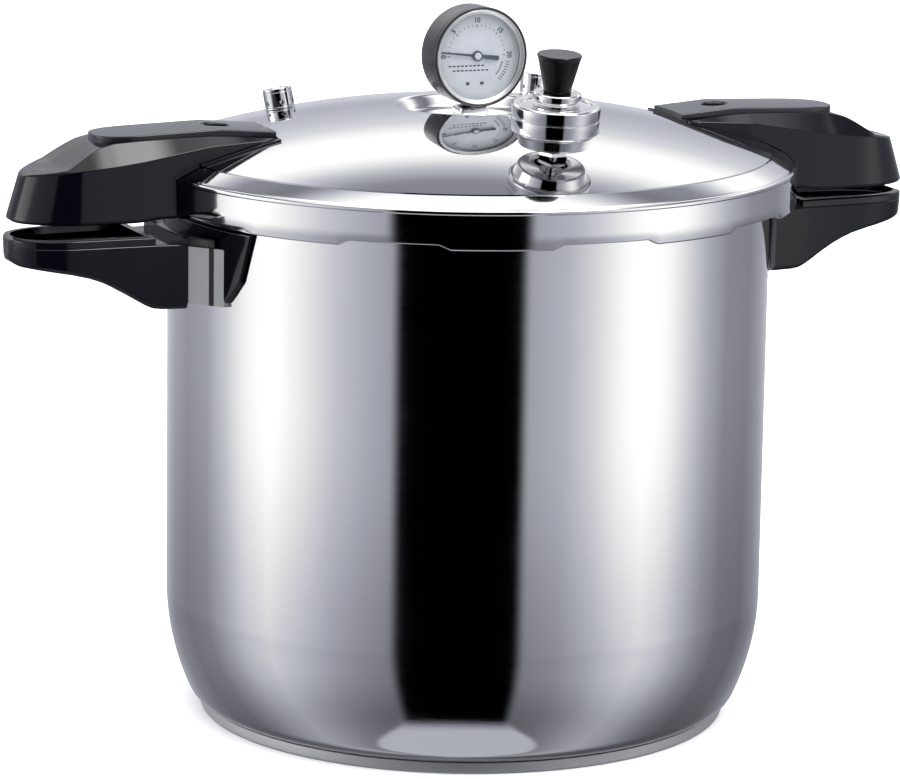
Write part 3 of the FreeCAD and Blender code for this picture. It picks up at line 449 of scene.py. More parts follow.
def build_lid():
    columns = 720
    gap_rise = 2.5
    outer_dome = [(r, dome_height(r), 0) for r in [42 + 4.5 * k for k in range(24)]]
    inner_dome = [(r, dome_height(r, WALL), 0) for r in [145 - 8.5 * k for k in range(12)]]
    top = rounded([
        (5.15, RECESS_FLOOR), (32.2, RECESS_FLOOR, 5), (37.5, dome_height(40) + 0.25, 6), *outer_dome,
        (SEAM_RADIUS, dome_height(SEAM_RADIUS)), (SEAM_RADIUS + 0.25, 284.75),
        (SEAM_RADIUS + 0.9, 284.85, 0.3),
        (160.3, 280.35, 1), (160.9, 279.75, 0.2), (161.5, 280.05, 0.3), (162.5, 279.85, 0.8),
        (BEAD_RADIUS, 279.1, 0.7), (BEAD_RADIUS, 278.0, 0.4), (BEAD_RADIUS - 0.3, 277.5, 0.3),
        (BEAD_RADIUS - 0.2, 275, 0), (BEAD_RADIUS - 0.1, 270),
    ], steps=5)
    bm = bmesh.new()
    table = []
    for column in range(columns):
        angle = 360 * column / columns
        lug = lug_share(angle)
        foot = LUG_LOW + gap_rise * (1 - lug)
        lip = 161.5 - 4.3 * lug
        edge = rounded([
            (BEAD_RADIUS - 0.1, 268), (BEAD_RADIUS - 0.05, foot, 1.0), (lip, foot, 0.5),
            (lip, foot + 0.6 + 1.4 * lug, 0.3), (161.5, foot + 0.65 + 1.4 * lug), (161.5, 276.8),
            (SEAM_RADIUS - 1.4, dome_height(SEAM_RADIUS - 1.4, WALL) - 0.6), *inner_dome,
            (37.5, dome_height(40, WALL) - 0.2, 5), (34, RECESS_FLOOR - WALL, 5),
            (5.15, RECESS_FLOOR - WALL),
        ], steps=4)
        turn = math.radians(angle)
        c, s = math.cos(turn), math.sin(turn)
        table.append([bm.verts.new((r * c, r * s, z)) for r, z in list(top) + list(edge)])
    rows = [list(row) for row in zip(*table)]
    skin(bm, rows + rows[:1])
    lid = finish_mesh("lid_dome_and_rim", bm, 38)
    settle(lid, "lid", "polished_steel", FINISH["dome"], "lid_shell")
    lid.data.materials.append(FINISH["rim"])
    for polygon in lid.data.polygons:
        if polygon.center.xy.length > (SEAM_RADIUS + 0.5) * MM:
            polygon.material_index = 1


# ---------------------------------------------------------------- handles
def between(stations, position):
    """Values of a table of stations at a position, eased from one station to the next."""
    for first, second in zip(stations, stations[1:]):
        if position <= second[0]:
            share = (position - first[0]) / (second[0] - first[0])
            return [mix(a, b, min(max(share, 0.0), 1.0)) for a, b in zip(first[1:], second[1:])]
    return list(stations[-1][1:])


def positions(start, stop, nose, count, nose_count):
    """Places along a handle, close together towards its tip."""
    straight = [mix(start, nose, k / count) for k in range(count)]
    bend = [mix(nose, stop, math.sin(math.pi / 2 * k / nose_count)) for k in range(nose_count + 1)]
    return straight + bend


def nose_width(x, nose, tip, power=2.3):
    """Share of the full width that is left at a place between the start of the nose and the tip."""
    share = min(max((x - nose) / (tip - nose), 0.0), 1.0)
    return max((1 - share ** power), 0.0) ** (1 / power)


def end_inset(x, tip, radius):
    """How far the top and bottom draw in where the tip is rounded off."""
    reach = max(radius - (tip - x), 0.0)
    return radius - math.sqrt(max(radius ** 2 - reach ** 2, 0.0))


LID_GRIP_LOW = low("lid_grip_right").z
LID_GRIP_TIP = high("lid_grip_right").x - 1.2
PAD_TOP = high("lid_grip_right").z
PAD_ROOT_DROP = 2.3
PAD_CREST = 136.0
PAD_FALL = 2.0
PAD_END = 196.2
WELL_RADIUS = 6.5
WELL_FLOOR = low("lid_screw_right").z + 4.0
SCREW_X = 133.0
LID_HANDLE_TURN = math.radians(-2)
GRIP_SAG = 1.5
FOOT_START, FOOT_END = 108.2, 149.0
# distance, half width at the bottom, half width and height of the shoulder, of the top of the slope
LID_GRIP_STATIONS = (
    (107.4, 24.8, 22.4, 296.5, 17.5, 297.1),
    (143, 26.5, 25, 294.4, 18.6, 298.6),
    (176, 26.7, 25.7, 288.6, 18.6, 297.8),
    (190, 26.7, 25.7, 286.8, 18.8, 297.0),
    (198, 26.7, 25.7, 286.0, 19.4, 295.0),
    (208, 26.6, 25.4, 285.1, 21.6, 289.9),
    (217, 26.4, 25, 284.2, 24, 285.6),
    (228, 25.4, 23.6, 282.8, 22.7, 283.6),
    (239, 24, 22, 280.9, 21, 281.4),
)


def seat_on_lid(item, side):
    """Turns a piece of the right handle into place: the lid's handles stand a little out of line."""
    mirror_half_turn(item, side)
    item.data.transform(Matrix.Rotation(LID_HANDLE_TURN, 4, "Z"))


def envelope(gap):
    """Everything under the lid's outer surface, as a cutting tool."""
    outline = [(0, 240), (163.0 + gap, 240), (163.2 + gap, 279.3), (161.5, 280.2 + gap),
               (SEAM_RADIUS + 0.4, 285.2 + gap)]
    outline += [(r, dome_height(r) + gap) for r in (*range(150, 95, -5), 60)]
    outline += [(0, DOME_TOP + gap)]
    return lathe("lid_envelope", outline, segments=256)


def thumb_dish(x, y):
    """Shallow scoop in the slope where the thumb rests, with a crisp lower lip."""
    across, along = y / 18.0, (x - 213) / 17.0
    return 1.1 * max(0.0, 1 - (across ** 2 + along ** 2) ** 2)


def build_lid_grip(side):
    nose = 203.0
    bm = bmesh.new()
    loops = []
    for x in positions(LID_GRIP_STATIONS[0][0], LID_GRIP_TIP, nose, 46, 30):
        low_half, shoulder_half, shoulder, top_half, top = between(LID_GRIP_STATIONS, x)
        width = nose_width(x, nose, LID_GRIP_TIP + 0.12, 2.15)
        inset = end_inset(x, LID_GRIP_TIP, 3.0)
        floor = LID_GRIP_LOW + 0.5 * inset - GRIP_SAG * smoothstep((x - 166) / 16)
        top -= 0.5 * inset
        shoulder -= 0.3 * inset
        crown = []
        for k in range(1, 16):
            y = top_half * width * (1 - k / 8)
            crown.append((y, top - thumb_dish(x, y) + 0.4 * (1 - (1 - k / 8) ** 2), 0))
        corners = [(-low_half * width, floor, 2.0), (low_half * width, floor, 2.0),
                   (shoulder_half * width, shoulder, 1.2), (top_half * width, top, 0.8), *crown,
                   (-top_half * width, top, 0.8), (-shoulder_half * width, shoulder, 1.2)]
        lean = smoothstep((x - 200) / (LID_GRIP_TIP - 200)) * 0.3
        loops.append([bm.verts.new((x - lean * max(z - LID_GRIP_LOW, 0.0), y, z))
                      for y, z in rounded(corners, closed=True, steps=4)])
    skin(bm, loops, close_ends=True)
    grip = finish_mesh(f"lid_handle_{side}", bm)
    hole = lathe("screw_well", [(0, WELL_FLOOR), (WELL_RADIUS, WELL_FLOOR), (WELL_RADIUS, 310), (0, 310)],
                 segments=64)
    place(hole, (SCREW_X, 0, 0))
    carve(grip, envelope(0.12), hole)
    seat_on_lid(grip, side)
    settle(grip, "lid", "black_phenolic", FINISH["handle"], f"lid_grip_{side}")
    build_pad(side)
    build_grip_foot(side)


def pad_height(x):
    """Top of the pad: it rises from the lid to a crest and falls gently towards the tip."""
    rise = PAD_ROOT_DROP * min(max((PAD_CREST - x) / (PAD_CREST - 107.5), 0.0), 1.0)
    fall = PAD_FALL * min(max((x - PAD_CREST) / (PAD_END - PAD_CREST), 0.0), 1.0)
    return PAD_TOP - rise - fall


def pad_half(x):
    """Half width of the pad: a slow swell, then a blunt rounded end."""
    swell = mix(17.2, 17.8, min((x - 107.5) / 60.0, 1.0))
    return swell * nose_width(x, 172.0, PAD_END + 0.1, 2.6)


def build_pad(side):
    """Raised pad on top of the lid's handle, square at the lid and rounded towards the tip."""
    fillet = 0.8
    bm = bmesh.new()
    loops = []
    for x in positions(107.6, PAD_END, 172.0, 24, 26):
        half = pad_half(x)
        top = pad_height(x) - end_inset(x, PAD_END, 1.0)
        edge = min(fillet, 0.6 * half)
        corners = [(-half + 0.5 * edge, top - 4.6), (half - 0.5 * edge, top - 4.6), (half, top, edge)]
        corners += [(half * (1 - k / 6) * 0.9, top + 0.25 * (1 - (1 - k / 6) ** 2), 0) for k in range(1, 12)]
        corners += [(-half, top, edge)]
        loops.append([bm.verts.new((x, y, z)) for y, z in rounded(corners, closed=True, steps=4)])
    skin(bm, loops, close_ends=True)
    pad = finish_mesh(f"lid_handle_pad_{side}", bm, 40)
    flared = WELL_RADIUS + 0.9
    well = lathe("pad_well", [(0, 290), (WELL_RADIUS, 290), (WELL_RADIUS, PAD_TOP - 0.9), (flared, PAD_TOP),
                              (flared, PAD_TOP + 4), (0, PAD_TOP + 4)], segments=64)
    place(well, (SCREW_X, 0, 0))
    carve(pad, well)
    seat_on_lid(pad, side)
    settle(pad, "lid", "black_phenolic", FINISH["pad"])


def build_grip_foot(side):
    """Low skirting of the handle that lies along the dome."""
    bm = bmesh.new()
    loops = []
    for k in range(15):
        x = mix(FOOT_START, FOOT_END, k / 14)
        half = between(LID_GRIP_STATIONS, x)[0] + 1.6
        loop = []
        for y, lift in rounded([(-half, 0.05), (-half + 0.3, 1.2, 0.3), (0, 1.3, 0),
                                (half - 0.3, 1.2, 0.3), (half, 0.05)], steps=4):
            reach = math.hypot(x, y)
            loop.append(bm.verts.new((x, y, dome_height(min(reach, SEAM_RADIUS)) + lift)))
        for y in [mix(half, -half, j / 12) for j in range(1, 12)]:
            loop.append(bm.verts.new((x, y, dome_height(min(math.hypot(x, y), SEAM_RADIUS)) + 0.05)))
        loops.append(loop)
    skin(bm, loops, close_ends=True)
    foot = finish_mesh(f"lid_handle_foot_{side}", bm)
    well = lathe("foot_well", [(0, 280), (WELL_RADIUS, 280), (WELL_RADIUS, 300), (0, 300)], segments=64)
    place(well, (SCREW_X, 0, 0))
    carve(foot, well)
    seat_on_lid(foot, side)
    settle(foot, "lid", "black_phenolic", FINISH["handle"])


POT_GRIP_START = low("pot_grip_right").x
POT_GRIP_TIP = high("pot_grip_right").x
POT_GRIP_TOP = high("pot_grip_right").z
# distance, half width, height of the underside
POT_GRIP_STATIONS = (
    (158.6, 28.2, 217.2), (170, 26.8, 217.2), (174.5, 26.3, 217.7), (178, 26, 219.2), (182, 25.8, 221.6),
    (188, 25.5, 225.4), (194, 25.2, 228.8), (200, 25, 231.6), (206, 24.8, 233.8), (214, 24.6, 235.8),
    (222, 24.4, 237.2), (232, 24.2, 238.8), (241, 24, 240.2),
)


def box_tool(lower, upper):
    """A plain block for cutting."""
    bm = bmesh.new()
    bmesh.ops.create_cube(bm, size=1)
    middle = (Vector(lower) + Vector(upper)) / 2
    size = Vector(upper) - Vector(lower)
    bmesh.ops.scale(bm, vec=size, verts=bm.verts)
    bmesh.ops.translate(bm, vec=middle, verts=bm.verts)
    return finish_mesh("block", bm)


def grip_loops(bm, start, shrink, floor, ceiling, edge, nose=206.0, tip=None):
    """Loops of a body with the pot grip's plan, drawn in by a margin."""
    tip = (tip or POT_GRIP_TIP) - shrink
    loops = []
    for x in positions(start, tip, nose, 40, 24):
        half, under = between(POT_GRIP_STATIONS, x)
        half = (half - shrink) * nose_width(x, nose, tip + 0.12, 2.45)
        inset = end_inset(x, tip, edge + 1.5)
        bottom = max(under, floor) + 0.8 * inset if floor < POT_GRIP_TOP - 10 else floor
        top = ceiling - 0.4 * inset
        groove = 0.3 if shrink == 0 else 0.0
        rim = POT_GRIP_TOP - 3.6
        corners = [(-half + 1.2, bottom, edge), (half - 1.2, bottom, edge)]
        if groove:
            corners += [(half, rim - 0.7, 0.1), (half - groove, rim - 0.35, 0.1), (half, rim, 0.1)]
        corners += [(half, top, 1.2 if groove else 0.3), (-half, top, 1.2 if groove else 0.3)]
        if groove:
            corners += [(-half, rim, 0.1), (-half + groove, rim - 0.35, 0.1), (-half, rim - 0.7, 0.1)]
        loops.append([bm.verts.new((x, y, z)) for y, z in rounded(corners, closed=True, steps=5)])
    return loops


def build_pot_grip(side):
    bm = bmesh.new()
    skin(bm, grip_loops(bm, POT_GRIP_START, 0, 0, POT_GRIP_TOP, 3.0), close_ends=True)
    grip = finish_mesh(f"pot_handle_{side}", bm)
    bm = bmesh.new()
    skin(bm, grip_loops(bm, 178, 3.2, POT_GRIP_TOP - 4, POT_GRIP_TOP + 3, 0.6), close_ends=True)
    tray = finish_mesh("tray", bm)
    notch = box_tool((161.5, -40, 249.4), (174.5, 40, 260))
    well = place(lathe("well", [(0, 200), (4.6, 200), (4.6, 227), (0, 227)], segments=48), (183, 0, 0))
    carve(grip, tray, notch, well)
    mirror_half_turn(grip, side)
    settle(grip, "pot", "black_phenolic", FINISH["handle"], f"pot_grip_{side}")


COLLAR_TOP = high("pot_collar_right").z


def build_collar(side):
    """Moulded shield that hugs the pot round the handle's root, thin, with rounded edges."""
    inner, sheet, low_edge = POT_RADIUS + 0.2, 2.2, 222.5
    rows, columns = 44, 64
    bm = bmesh.new()
    front, back = [], []
    for row in range(rows + 1):
        share = 0.5 - 0.5 * math.cos(math.pi * row / rows)
        z = mix(low_edge, COLLAR_TOP, share)
        half = between(((222.4, 45.3), (226.0, 49.0), (234.0, 56.0), (COLLAR_TOP, 64.0)), z)[0]
        front_row, back_row = [], []
        for column in range(columns + 1):
            u = -math.cos(math.pi * column / columns)
            angle = u * half / (inner + sheet)
            margin = min(half * (1 - abs(u)), z - low_edge, COLLAR_TOP - z)
            reach = max(1.3 - margin, 0.0)
            rise = sheet - (1.3 - math.sqrt(max(1.3 ** 2 - reach ** 2, 0.0)))
            for radius, line in ((inner + rise, front_row), (inner, back_row)):
                line.append(bm.verts.new((radius * math.cos(angle), radius * math.sin(angle), z)))
        front.append(front_row)
        back.append(back_row)
    skin(bm, front, wrap=False)
    skin(bm, [list(reversed(line)) for line in back], wrap=False)
    skin(bm, [front[0], back[0]], wrap=False)
    skin(bm, [back[-1], front[-1]], wrap=False)
    skin(bm, [[line[0] for line in back], [line[0] for line in front]], wrap=False)
    skin(bm, [[line[-1] for line in front], [line[-1] for line in back]], wrap=False)
    collar = finish_mesh(f"pot_shield_{side}", bm, 40)
    mirror_half_turn(collar, side)
    settle(collar, "pot", "black_phenolic", FINISH["handle"], f"pot_collar_{side}")
    build_shelf(side)


SLEEVE_TOP = high("pot_ferrule_right").z + 0.15


def build_shelf(side):
    """Top of the handle's root, which runs from the shield out over the steel to the grip."""
    bm = bmesh.new()
    loops = []
    for x in [mix(149.5, POT_GRIP_START - 0.05, k / 12) for k in range(13)]:
        half = mix(42.0, 28.2, smoothstep((x - 147.0) / (POT_GRIP_START - 147.0)) * 0.4
                   + 0.6 * (x - 147.0) / (POT_GRIP_START - 147.0))
        corners = [(-half, SLEEVE_TOP, 0.6), (half, SLEEVE_TOP, 0.6), (half - 0.8, POT_GRIP_TOP - 0.2, 1.6),
                   (-half + 0.8, POT_GRIP_TOP - 0.2, 1.6)]
        loops.append([bm.verts.new((x, y, z)) for y, z in rounded(corners, closed=True, steps=5)])
    skin(bm, loops, close_ends=True)
    shelf = finish_mesh(f"pot_handle_root_{side}", bm)
    reach = POT_RADIUS + 0.2
    tool = lathe("wall_tool", [(0, 230), (reach, 230), (reach, 270), (0, 270)], segments=256)
    carve(shelf, tool)
    mirror_half_turn(shelf, side)
    settle(shelf, "pot", "black_phenolic", FINISH["handle"])


# ---------------------------------------------------------------- gauge
GAUGE_BASE = (0, 0, GAUGE_HEIGHT)
CASE_FRONT = -low("gauge_case").y
CASE_BACK = high("gauge_case").y
DIAL_FRONT = -low("gauge_dial").y
TICK_RADIUS = 15.6
NUMBER_RADIUS = 17.6
POINTER_REST = 7.0


def on_gauge(item):
    """Stands a piece made on the Z axis on the gauge's axis: +Z comes forward, +X to the right, +Y up."""
    upright = Matrix.Rotation(math.pi / 2, 4, "X")
    item.data.transform(Matrix.Translation(Vector(GAUGE_BASE) * MM) @ upright)
    return item


def build_gauge():
    inner = CASE_RADIUS - 1.2
    case = lathe("gauge_shell", [
        (0, -CASE_BACK), (CASE_RADIUS, -CASE_BACK, 2.0), (CASE_RADIUS, CASE_FRONT - 3.2, 0.1),
        (CASE_RADIUS - 0.25, CASE_FRONT - 3.0, 0.1), (CASE_RADIUS - 0.25, CASE_FRONT - 2.7, 0.1),
        (CASE_RADIUS, CASE_FRONT - 2.5, 0.1), (CASE_RADIUS, CASE_FRONT, 0.7), (inner, CASE_FRONT, 0.3),
        (inner, 1.2 - CASE_BACK), (0, 1.2 - CASE_BACK),
    ], segments=160)
    settle(on_gauge(case), "lid", "gauge_black", FINISH["case"], "gauge_case")
    ring = lathe("gauge_ring", [
        (inner - 0.05, 11.15), (inner - 0.05, CASE_FRONT - 0.4, 0.2), (inner - 0.5, CASE_FRONT, 0.3),
        (inner - 1.5, CASE_FRONT - 0.7, 0.5), (inner - 2.2, 11.7, 0.2), (inner - 2.2, 11.15),
    ], segments=160, closed=True)
    settle(on_gauge(ring), "lid", "polished_steel", FINISH["satin"], "gauge_bezel")
    lens = lathe("gauge_window", [(0, 10), (inner - 0.1, 10), (inner - 0.1, 11.1), (0, 11.1)], segments=128)
    settle(on_gauge(lens), "lid", "gauge_glass", FINISH["glass"], "gauge_lens")
    dial = lathe("gauge_face", [
        (1.6, DIAL_FRONT - 0.6), (23, DIAL_FRONT - 0.6), (23, DIAL_FRONT + 0.35, 0.2),
        (21.6, DIAL_FRONT, 0.4),
        (1.6, DIAL_FRONT),
    ], segments=128, closed=True)
    settle(on_gauge(dial), "lid", "dial_white", FINISH["dial"], "gauge_dial")
    build_scale()
    build_pointer()
    build_stem()


def dial_angle(reading):
    """Direction on the dial of a reading: 0 at nine o'clock, 10 at twelve, 20 at three."""
    return math.radians(180 - 9 * reading)


def bar(bm, centre, direction, length, width, level):
    """A flat printed bar, a hair above the dial."""
    along = Vector((math.cos(direction), math.sin(direction)))
    aside = Vector((-along.y, along.x)) * width / 2
    ends = (Vector(centre) - along * length / 2, Vector(centre) + along * length / 2)
    corners = [ends[0] - aside, ends[1] - aside, ends[1] + aside, ends[0] + aside]
    lower = [bm.verts.new((c.x, c.y, level)) for c in corners]
    upper = [bm.verts.new((c.x, c.y, level + 0.05)) for c in corners]
    bm.faces.new(list(reversed(lower)))
    bm.faces.new(upper)
    for k in range(4):
        n = (k + 1) % 4
        bm.faces.new((lower[k], lower[n], upper[n], upper[k]))


def arc_strip(bm, radius, width, start, stop, level, count=36):
    """A flat printed arc between two dial angles."""
    loops = []
    for k in range(count + 1):
        angle = mix(start, stop, k / count)
        c, s = math.cos(angle), math.sin(angle)
        near, far = radius - width / 2, radius + width / 2
        loops.append([bm.verts.new((r * c, r * s, z)) for r, z in
                      ((near, level), (far, level), (far, level + 0.05), (near, level + 0.05))])
    skin(bm, loops, close_ends=True)


def build_scale():
    """Printed scale: ticks, a thick line and hatching over the top range, and plain dashed rules below."""
    level = DIAL_FRONT + 0.02
    bm = bmesh.new()
    for reading in range(0, 21):
        angle = dial_angle(reading)
        length, width = (1.5, 0.42) if reading % 5 == 0 else (0.8, 0.3)
        reach = TICK_RADIUS - length / 2
        bar(bm, (reach * math.cos(angle), reach * math.sin(angle)), angle, length, width, level)
    arc_strip(bm, 14.3, 0.5, dial_angle(21.4), dial_angle(24.8), level)
    for step in range(8):
        angle = dial_angle(21.3 + 0.5 * step)
        reach = NUMBER_RADIUS - 0.4
        bar(bm, (reach * math.cos(angle), reach * math.sin(angle)), angle, 1.9, 0.42, level)
    for row, start, count in ((-4.9, -14.2, 9), (-7.2, -12.0, 9)):
        for dash in range(count):
            bar(bm, (start + 2.2 * dash, row), 0.0, 1.5, 0.75, level)
    for spot in (-4.6, 3.1):
        bar(bm, (spot, -13.7), 0.0, 1.9, 1.5, level)
    scale = finish_mesh("gauge_scale", bm, clean=False)
    settle(on_gauge(scale), "lid", "dial_white", FINISH["print"])
    for reading in (0, 5, 10, 15, 20):
        number_on_dial(reading, level)


def number_on_dial(reading, level):
    curve = bpy.data.curves.new(f"reading_{reading}", "FONT")
    curve.body = str(reading)
    curve.size = 3.4 * MM
    curve.offset = 0.1 * MM
    curve.align_x = "CENTER"
    curve.align_y = "CENTER"
    curve.extrude = 0.03 * MM
    text = bpy.data.objects.new(f"reading_{reading}", curve)
    bpy.context.scene.collection.objects.link(text)
    bpy.context.view_layer.update()
    mesh = bpy.data.meshes.new_from_object(text.evaluated_get(bpy.context.evaluated_depsgraph_get()))
    bpy.data.objects.remove(text)
    angle = dial_angle(reading)
    spin = Matrix.Rotation(angle - math.pi / 2, 4, "Z")
    reach = NUMBER_RADIUS * MM
    shift = Matrix.Translation((reach * math.cos(angle), reach * math.sin(angle), (level + 0.03) * MM))
    mesh.transform(shift @ spin)
    item = bpy.data.objects.new(f"dial_number_{reading}", mesh)
    bpy.context.scene.collection.objects.link(item)
    settle(on_gauge(item), "lid", "dial_white", FINISH["print"])


def build_pointer():
    """Tapered needle with a broad counterweight, a dark hub and a pale cap."""
    level = 8.2
    outline = [(-19.5, -0.38), (-2.2, -0.6), (2.2, -0.9), (11.3, -1.15), (11.5, -0.9),
               (11.5, 0.9), (11.3, 1.15), (2.2, 0.9), (-2.2, 0.6), (-19.5, 0.38)]
    bm = bmesh.new()
    loops = []
    for inset, height in ((0.0, level), (0.0, level + 0.4), (0.08, level + 0.5)):
        loops.append([bm.verts.new((x * (1 - inset * 0.02), y * (1 - inset), height)) for x, y in outline])
    skin(bm, loops, close_ends=True)
    needle = finish_mesh("gauge_needle", bm)
    needle.data.transform(Matrix.Rotation(-math.radians(POINTER_REST), 4, "Z"))
    settle(on_gauge(needle), "pointer", "pointer_blue", FINISH["pointer"], "gauge_pointer")
    hub = lathe("needle_hub", [(0, 2), (0.8, 2), (0.8, 7.4), (2.6, 7.4, 0.2), (2.6, 9.0, 0.4),
                               (1.9, 9.05, 0.1),
                               (1.8, 8.9), (0, 8.9)], segments=64)
    settle(on_gauge(hub), "pointer", "pointer_blue", FINISH["pointer"])
    cap = lathe("needle_cap", [(0, 8.9), (1.75, 8.9), (1.75, 9.2, 0.2), (0.5, 9.35, 0.1),
                               (0.45, 9.1), (0, 9.1)],
                segments=64)
    settle(on_gauge(cap), "pointer", "pointer_blue", FINISH["dial"])


def build_stem():
    """Square block that the gauge is screwed on, with its corners broken, and a round neck below."""
    bm = bmesh.new()
    half_x, half_y = 7.5, 6.0
    plan = rounded([(-half_x, -half_y, 1.6), (half_x, -half_y, 1.6),
                    (half_x, half_y, 1.6), (-half_x, half_y, 1.6)],
                   closed=True, steps=5)
    loops = []
    floor = RECESS_FLOOR + 0.1
    for rise, shrink in ((0, 0.6), (0.6, 0.0), (4.9, 0.0), (5.6, 0.5), (6.0, 1.6)):
        z = floor + rise
        across, deep = 1 - shrink / half_x, 1 - shrink / half_y
        loops.append([bm.verts.new((p.x * across, p.y * deep, z)) for p in plan])
    skin(bm, loops, close_ends=True)
    block = finish_mesh("gauge_foot", bm, 40)
    settle(block, "lid", "polished_steel", FINISH["fitting"], "gauge_stem")
    shank_low = low("gauge_stem").z
    shank = lathe("gauge_shank", [(1.5, shank_low), (5, shank_low, 0.6), (5, floor), (1.5, floor)],
                  segments=64, closed=True)
    settle(shank, "lid", "polished_steel", FINISH["fitting"])


# ---------------------------------------------------------------- regulator weight and valves
VENT_AXIS = JOINTS["weight_lift"]["axis"]
VENT_BASE = (-4.0, -108.0, 296.4)


def on_vent(item):
    return place(item, VENT_BASE, VENT_AXIS)


def build_weight():
    radius = 21.15
    foot = 5.3
    body = lathe("weight_drum", [
        (2.6, foot + 3.2), (6, foot + 3.2, 1), (15.4, foot, 0.6), (16.2, foot, 0.5), (16.8, foot + 0.6, 0.4),
        (18.2, foot + 4.8, 1.2), (18.7, foot + 6.0, 0.3), (19.6, foot + 6.2, 0.4),
        (radius, foot + 7.4, 1.2),
        (radius, 19.05, 0.12), (radius - 0.3, 19.25, 0.08), (radius - 0.3, 19.6, 0.08), (radius, 19.8, 0.12),
        (radius, 25.0, 0.6), (radius - 0.7, 25.8, 0.5), (17.0, 25.8, 0.3), (16.5, 24.95, 0.3),
        (11.3, 24.9, 0.2),
        (3, 24.9), (3, 21), (1.7, 21), (1.7, 14), (2.6, 12.9),
    ], segments=160, closed=True)
    settle(on_vent(body), "weight", "polished_steel", FINISH["fitting"], "weight_body")
    collar = lathe("weight_cup", [
        (0, 21.4), (2.9, 21.4), (2.9, 25.0), (11, 25.0, 0.2), (11, 27.3, 0.3), (11.65, 27.9, 0.4),
        (11.65, 30.8, 0.7), (10.9, 31.4, 0.5), (7.8, 31.4, 0.4), (7.2, 30.2, 0.2), (2, 30.2),
        (2, 42), (0, 42),
    ], segments=128)
    settle(on_vent(collar), "weight", "polished_steel", FINISH["fitting"], "weight_collar")
    knob = lathe("weight_handle", [
        (2.1, 30.3), (6.5, 30.3, 0.3), (6.75, 33.3, 8), (10.25, 47.6, 3), (10.8, 49.1, 0.5),
        (10.3, 49.75, 0.5),
        (8.9, 49.65, 0.4), (0, 49.95), (0, 43), (2.1, 43),
    ], segments=128)
    settle(on_vent(knob), "weight", "knob_black", FINISH["knob"], "weight_knob")
    pipe = lathe("steam_pipe", [
        (0.9, -12), (4, -12, 0.4), (4, -8), (7, -8, 0.4), (7, -5.5), (2.2, -5.5), (2.2, 12.0),
        (1.3, 13.2), (0.9, 13.2),
    ], segments=64, closed=True)
    settle(on_vent(pipe), "lid", "polished_steel", FINISH["fitting"], "vent_pipe")


VALVES = {"valve_a": (-74.0, 69.5), "valve_b": (57.5, 50.0)}


def build_valve(name):
    x, y = VALVES[name]
    axis = JOINTS[f"poppet_{name[-1]}_lift"]["axis"]
    base = (x, y, dome_height(math.hypot(x, y)))
    cap = lathe(f"{name}_hood", [
        (6.1, 1.15), (7.5, 1.15, 0.25), (7.5, 8.2, 0.1), (7.35, 8.35, 0.05), (7.35, 8.6, 0.05),
        (7.5, 8.75, 0.1),
        (7.5, 10.6, 0.9), (4.2, 10.6, 0.2), (3.9, 10.3, 0.2), (0, 10.3), (0, 9.3), (6.1, 9.3), (6.1, 8.0),
    ], segments=96)
    tools = []
    for k in range(6):
        turn = math.radians(60 * k + 20)
        tool = lathe("side_hole", [(0, 5), (1.15, 5), (1.15, 9), (0, 9)], segments=20)
        place(tool, (0, 0, 3.4), (math.cos(turn), math.sin(turn), 0))
        tools.append(tool)
    carve(cap, *tools)
    settle(place(cap, base, axis), "lid", "polished_steel", FINISH["fitting"], f"{name}_cap")
    seat = lathe(f"{name}_base", [
        (1.5, -9), (4, -9, 0.4), (4, 0.1), (7.6, 0.1, 0.2), (7.6, 1.0, 0.3), (6, 1.1), (6, 2.1),
        (3, 2.1), (1.5, 1.4),
    ], segments=96, closed=True)
    settle(place(seat, base, axis), "lid", "polished_steel", FINISH["fitting"], f"{name}_seat")


# ---------------------------------------------------------------- CAD nodes that stay
NODE_FINISH = {
    "base_spreader": "pressed", "canning_rack": "pressed", "pot_rim": "body", "sealing_gasket": "rubber",
    "gauge_washer": "rubber", "vent_washer": "rubber", "vent_nut": "fitting", "gauge_nut": "bolt",
    "gauge_block": "brass", "bourdon_tube": "brass", "gauge_pinion": "brass", "gauge_sector": "brass",
}
for handle_side in SIDES:
    NODE_FINISH.update({f"pot_bracket_{handle_side}": "plate", f"pot_ferrule_{handle_side}": "plate",
                        f"pot_spacer_{handle_side}": "handle", f"pot_screw_{handle_side}": "bolt",
                        f"lid_stud_{handle_side}": "bolt", f"lid_screw_{handle_side}": "bolt"})
for valve in VALVES:
    NODE_FINISH.update({f"{valve}_washer": "rubber", f"{valve}_nut": "bolt", f"{valve}_spring": "bolt",
                        f"{valve}_poppet": "rubber"})


def dress_nodes():
    for node, finish in NODE_FINISH.items():
        item = frame["nodes"][node]
        item.data.materials.clear()
        item.data.materials.append(FINISH[finish])


# ---------------------------------------------------------------- studio
CAMERA_AZIMUTH = -23.7
CAMERA_DISTANCE = 2.17841
CAMERA_HEIGHT = 0.61797
PITCH, YAW, ROLL = 0.2066, -0.0036, 0.0151
FOCAL_PIXELS = 4424.45
IMAGE_WIDTH = 900


def build_camera():
    data = bpy.data.cameras.new("camera")
    data.sensor_width = 36.0
    data.lens = FOCAL_PIXELS / IMAGE_WIDTH * data.sensor_width
    camera = bpy.data.objects.new("camera", data)
    bpy.context.scene.collection.objects.link(camera)
    turn = Matrix.Rotation(math.radians(CAMERA_AZIMUTH), 4, "Z")
    spot = turn @ Vector((0, -CAMERA_DISTANCE, CAMERA_HEIGHT))
    look = (turn @ Matrix.Rotation(-YAW, 4, "Z") @ Matrix.Rotation(math.pi / 2 - PITCH, 4, "X")
            @ Matrix.Rotation(ROLL, 4, "Z"))
    camera.matrix_world = Matrix.Translation(spot) @ look
    bpy.context.scene.camera = camera


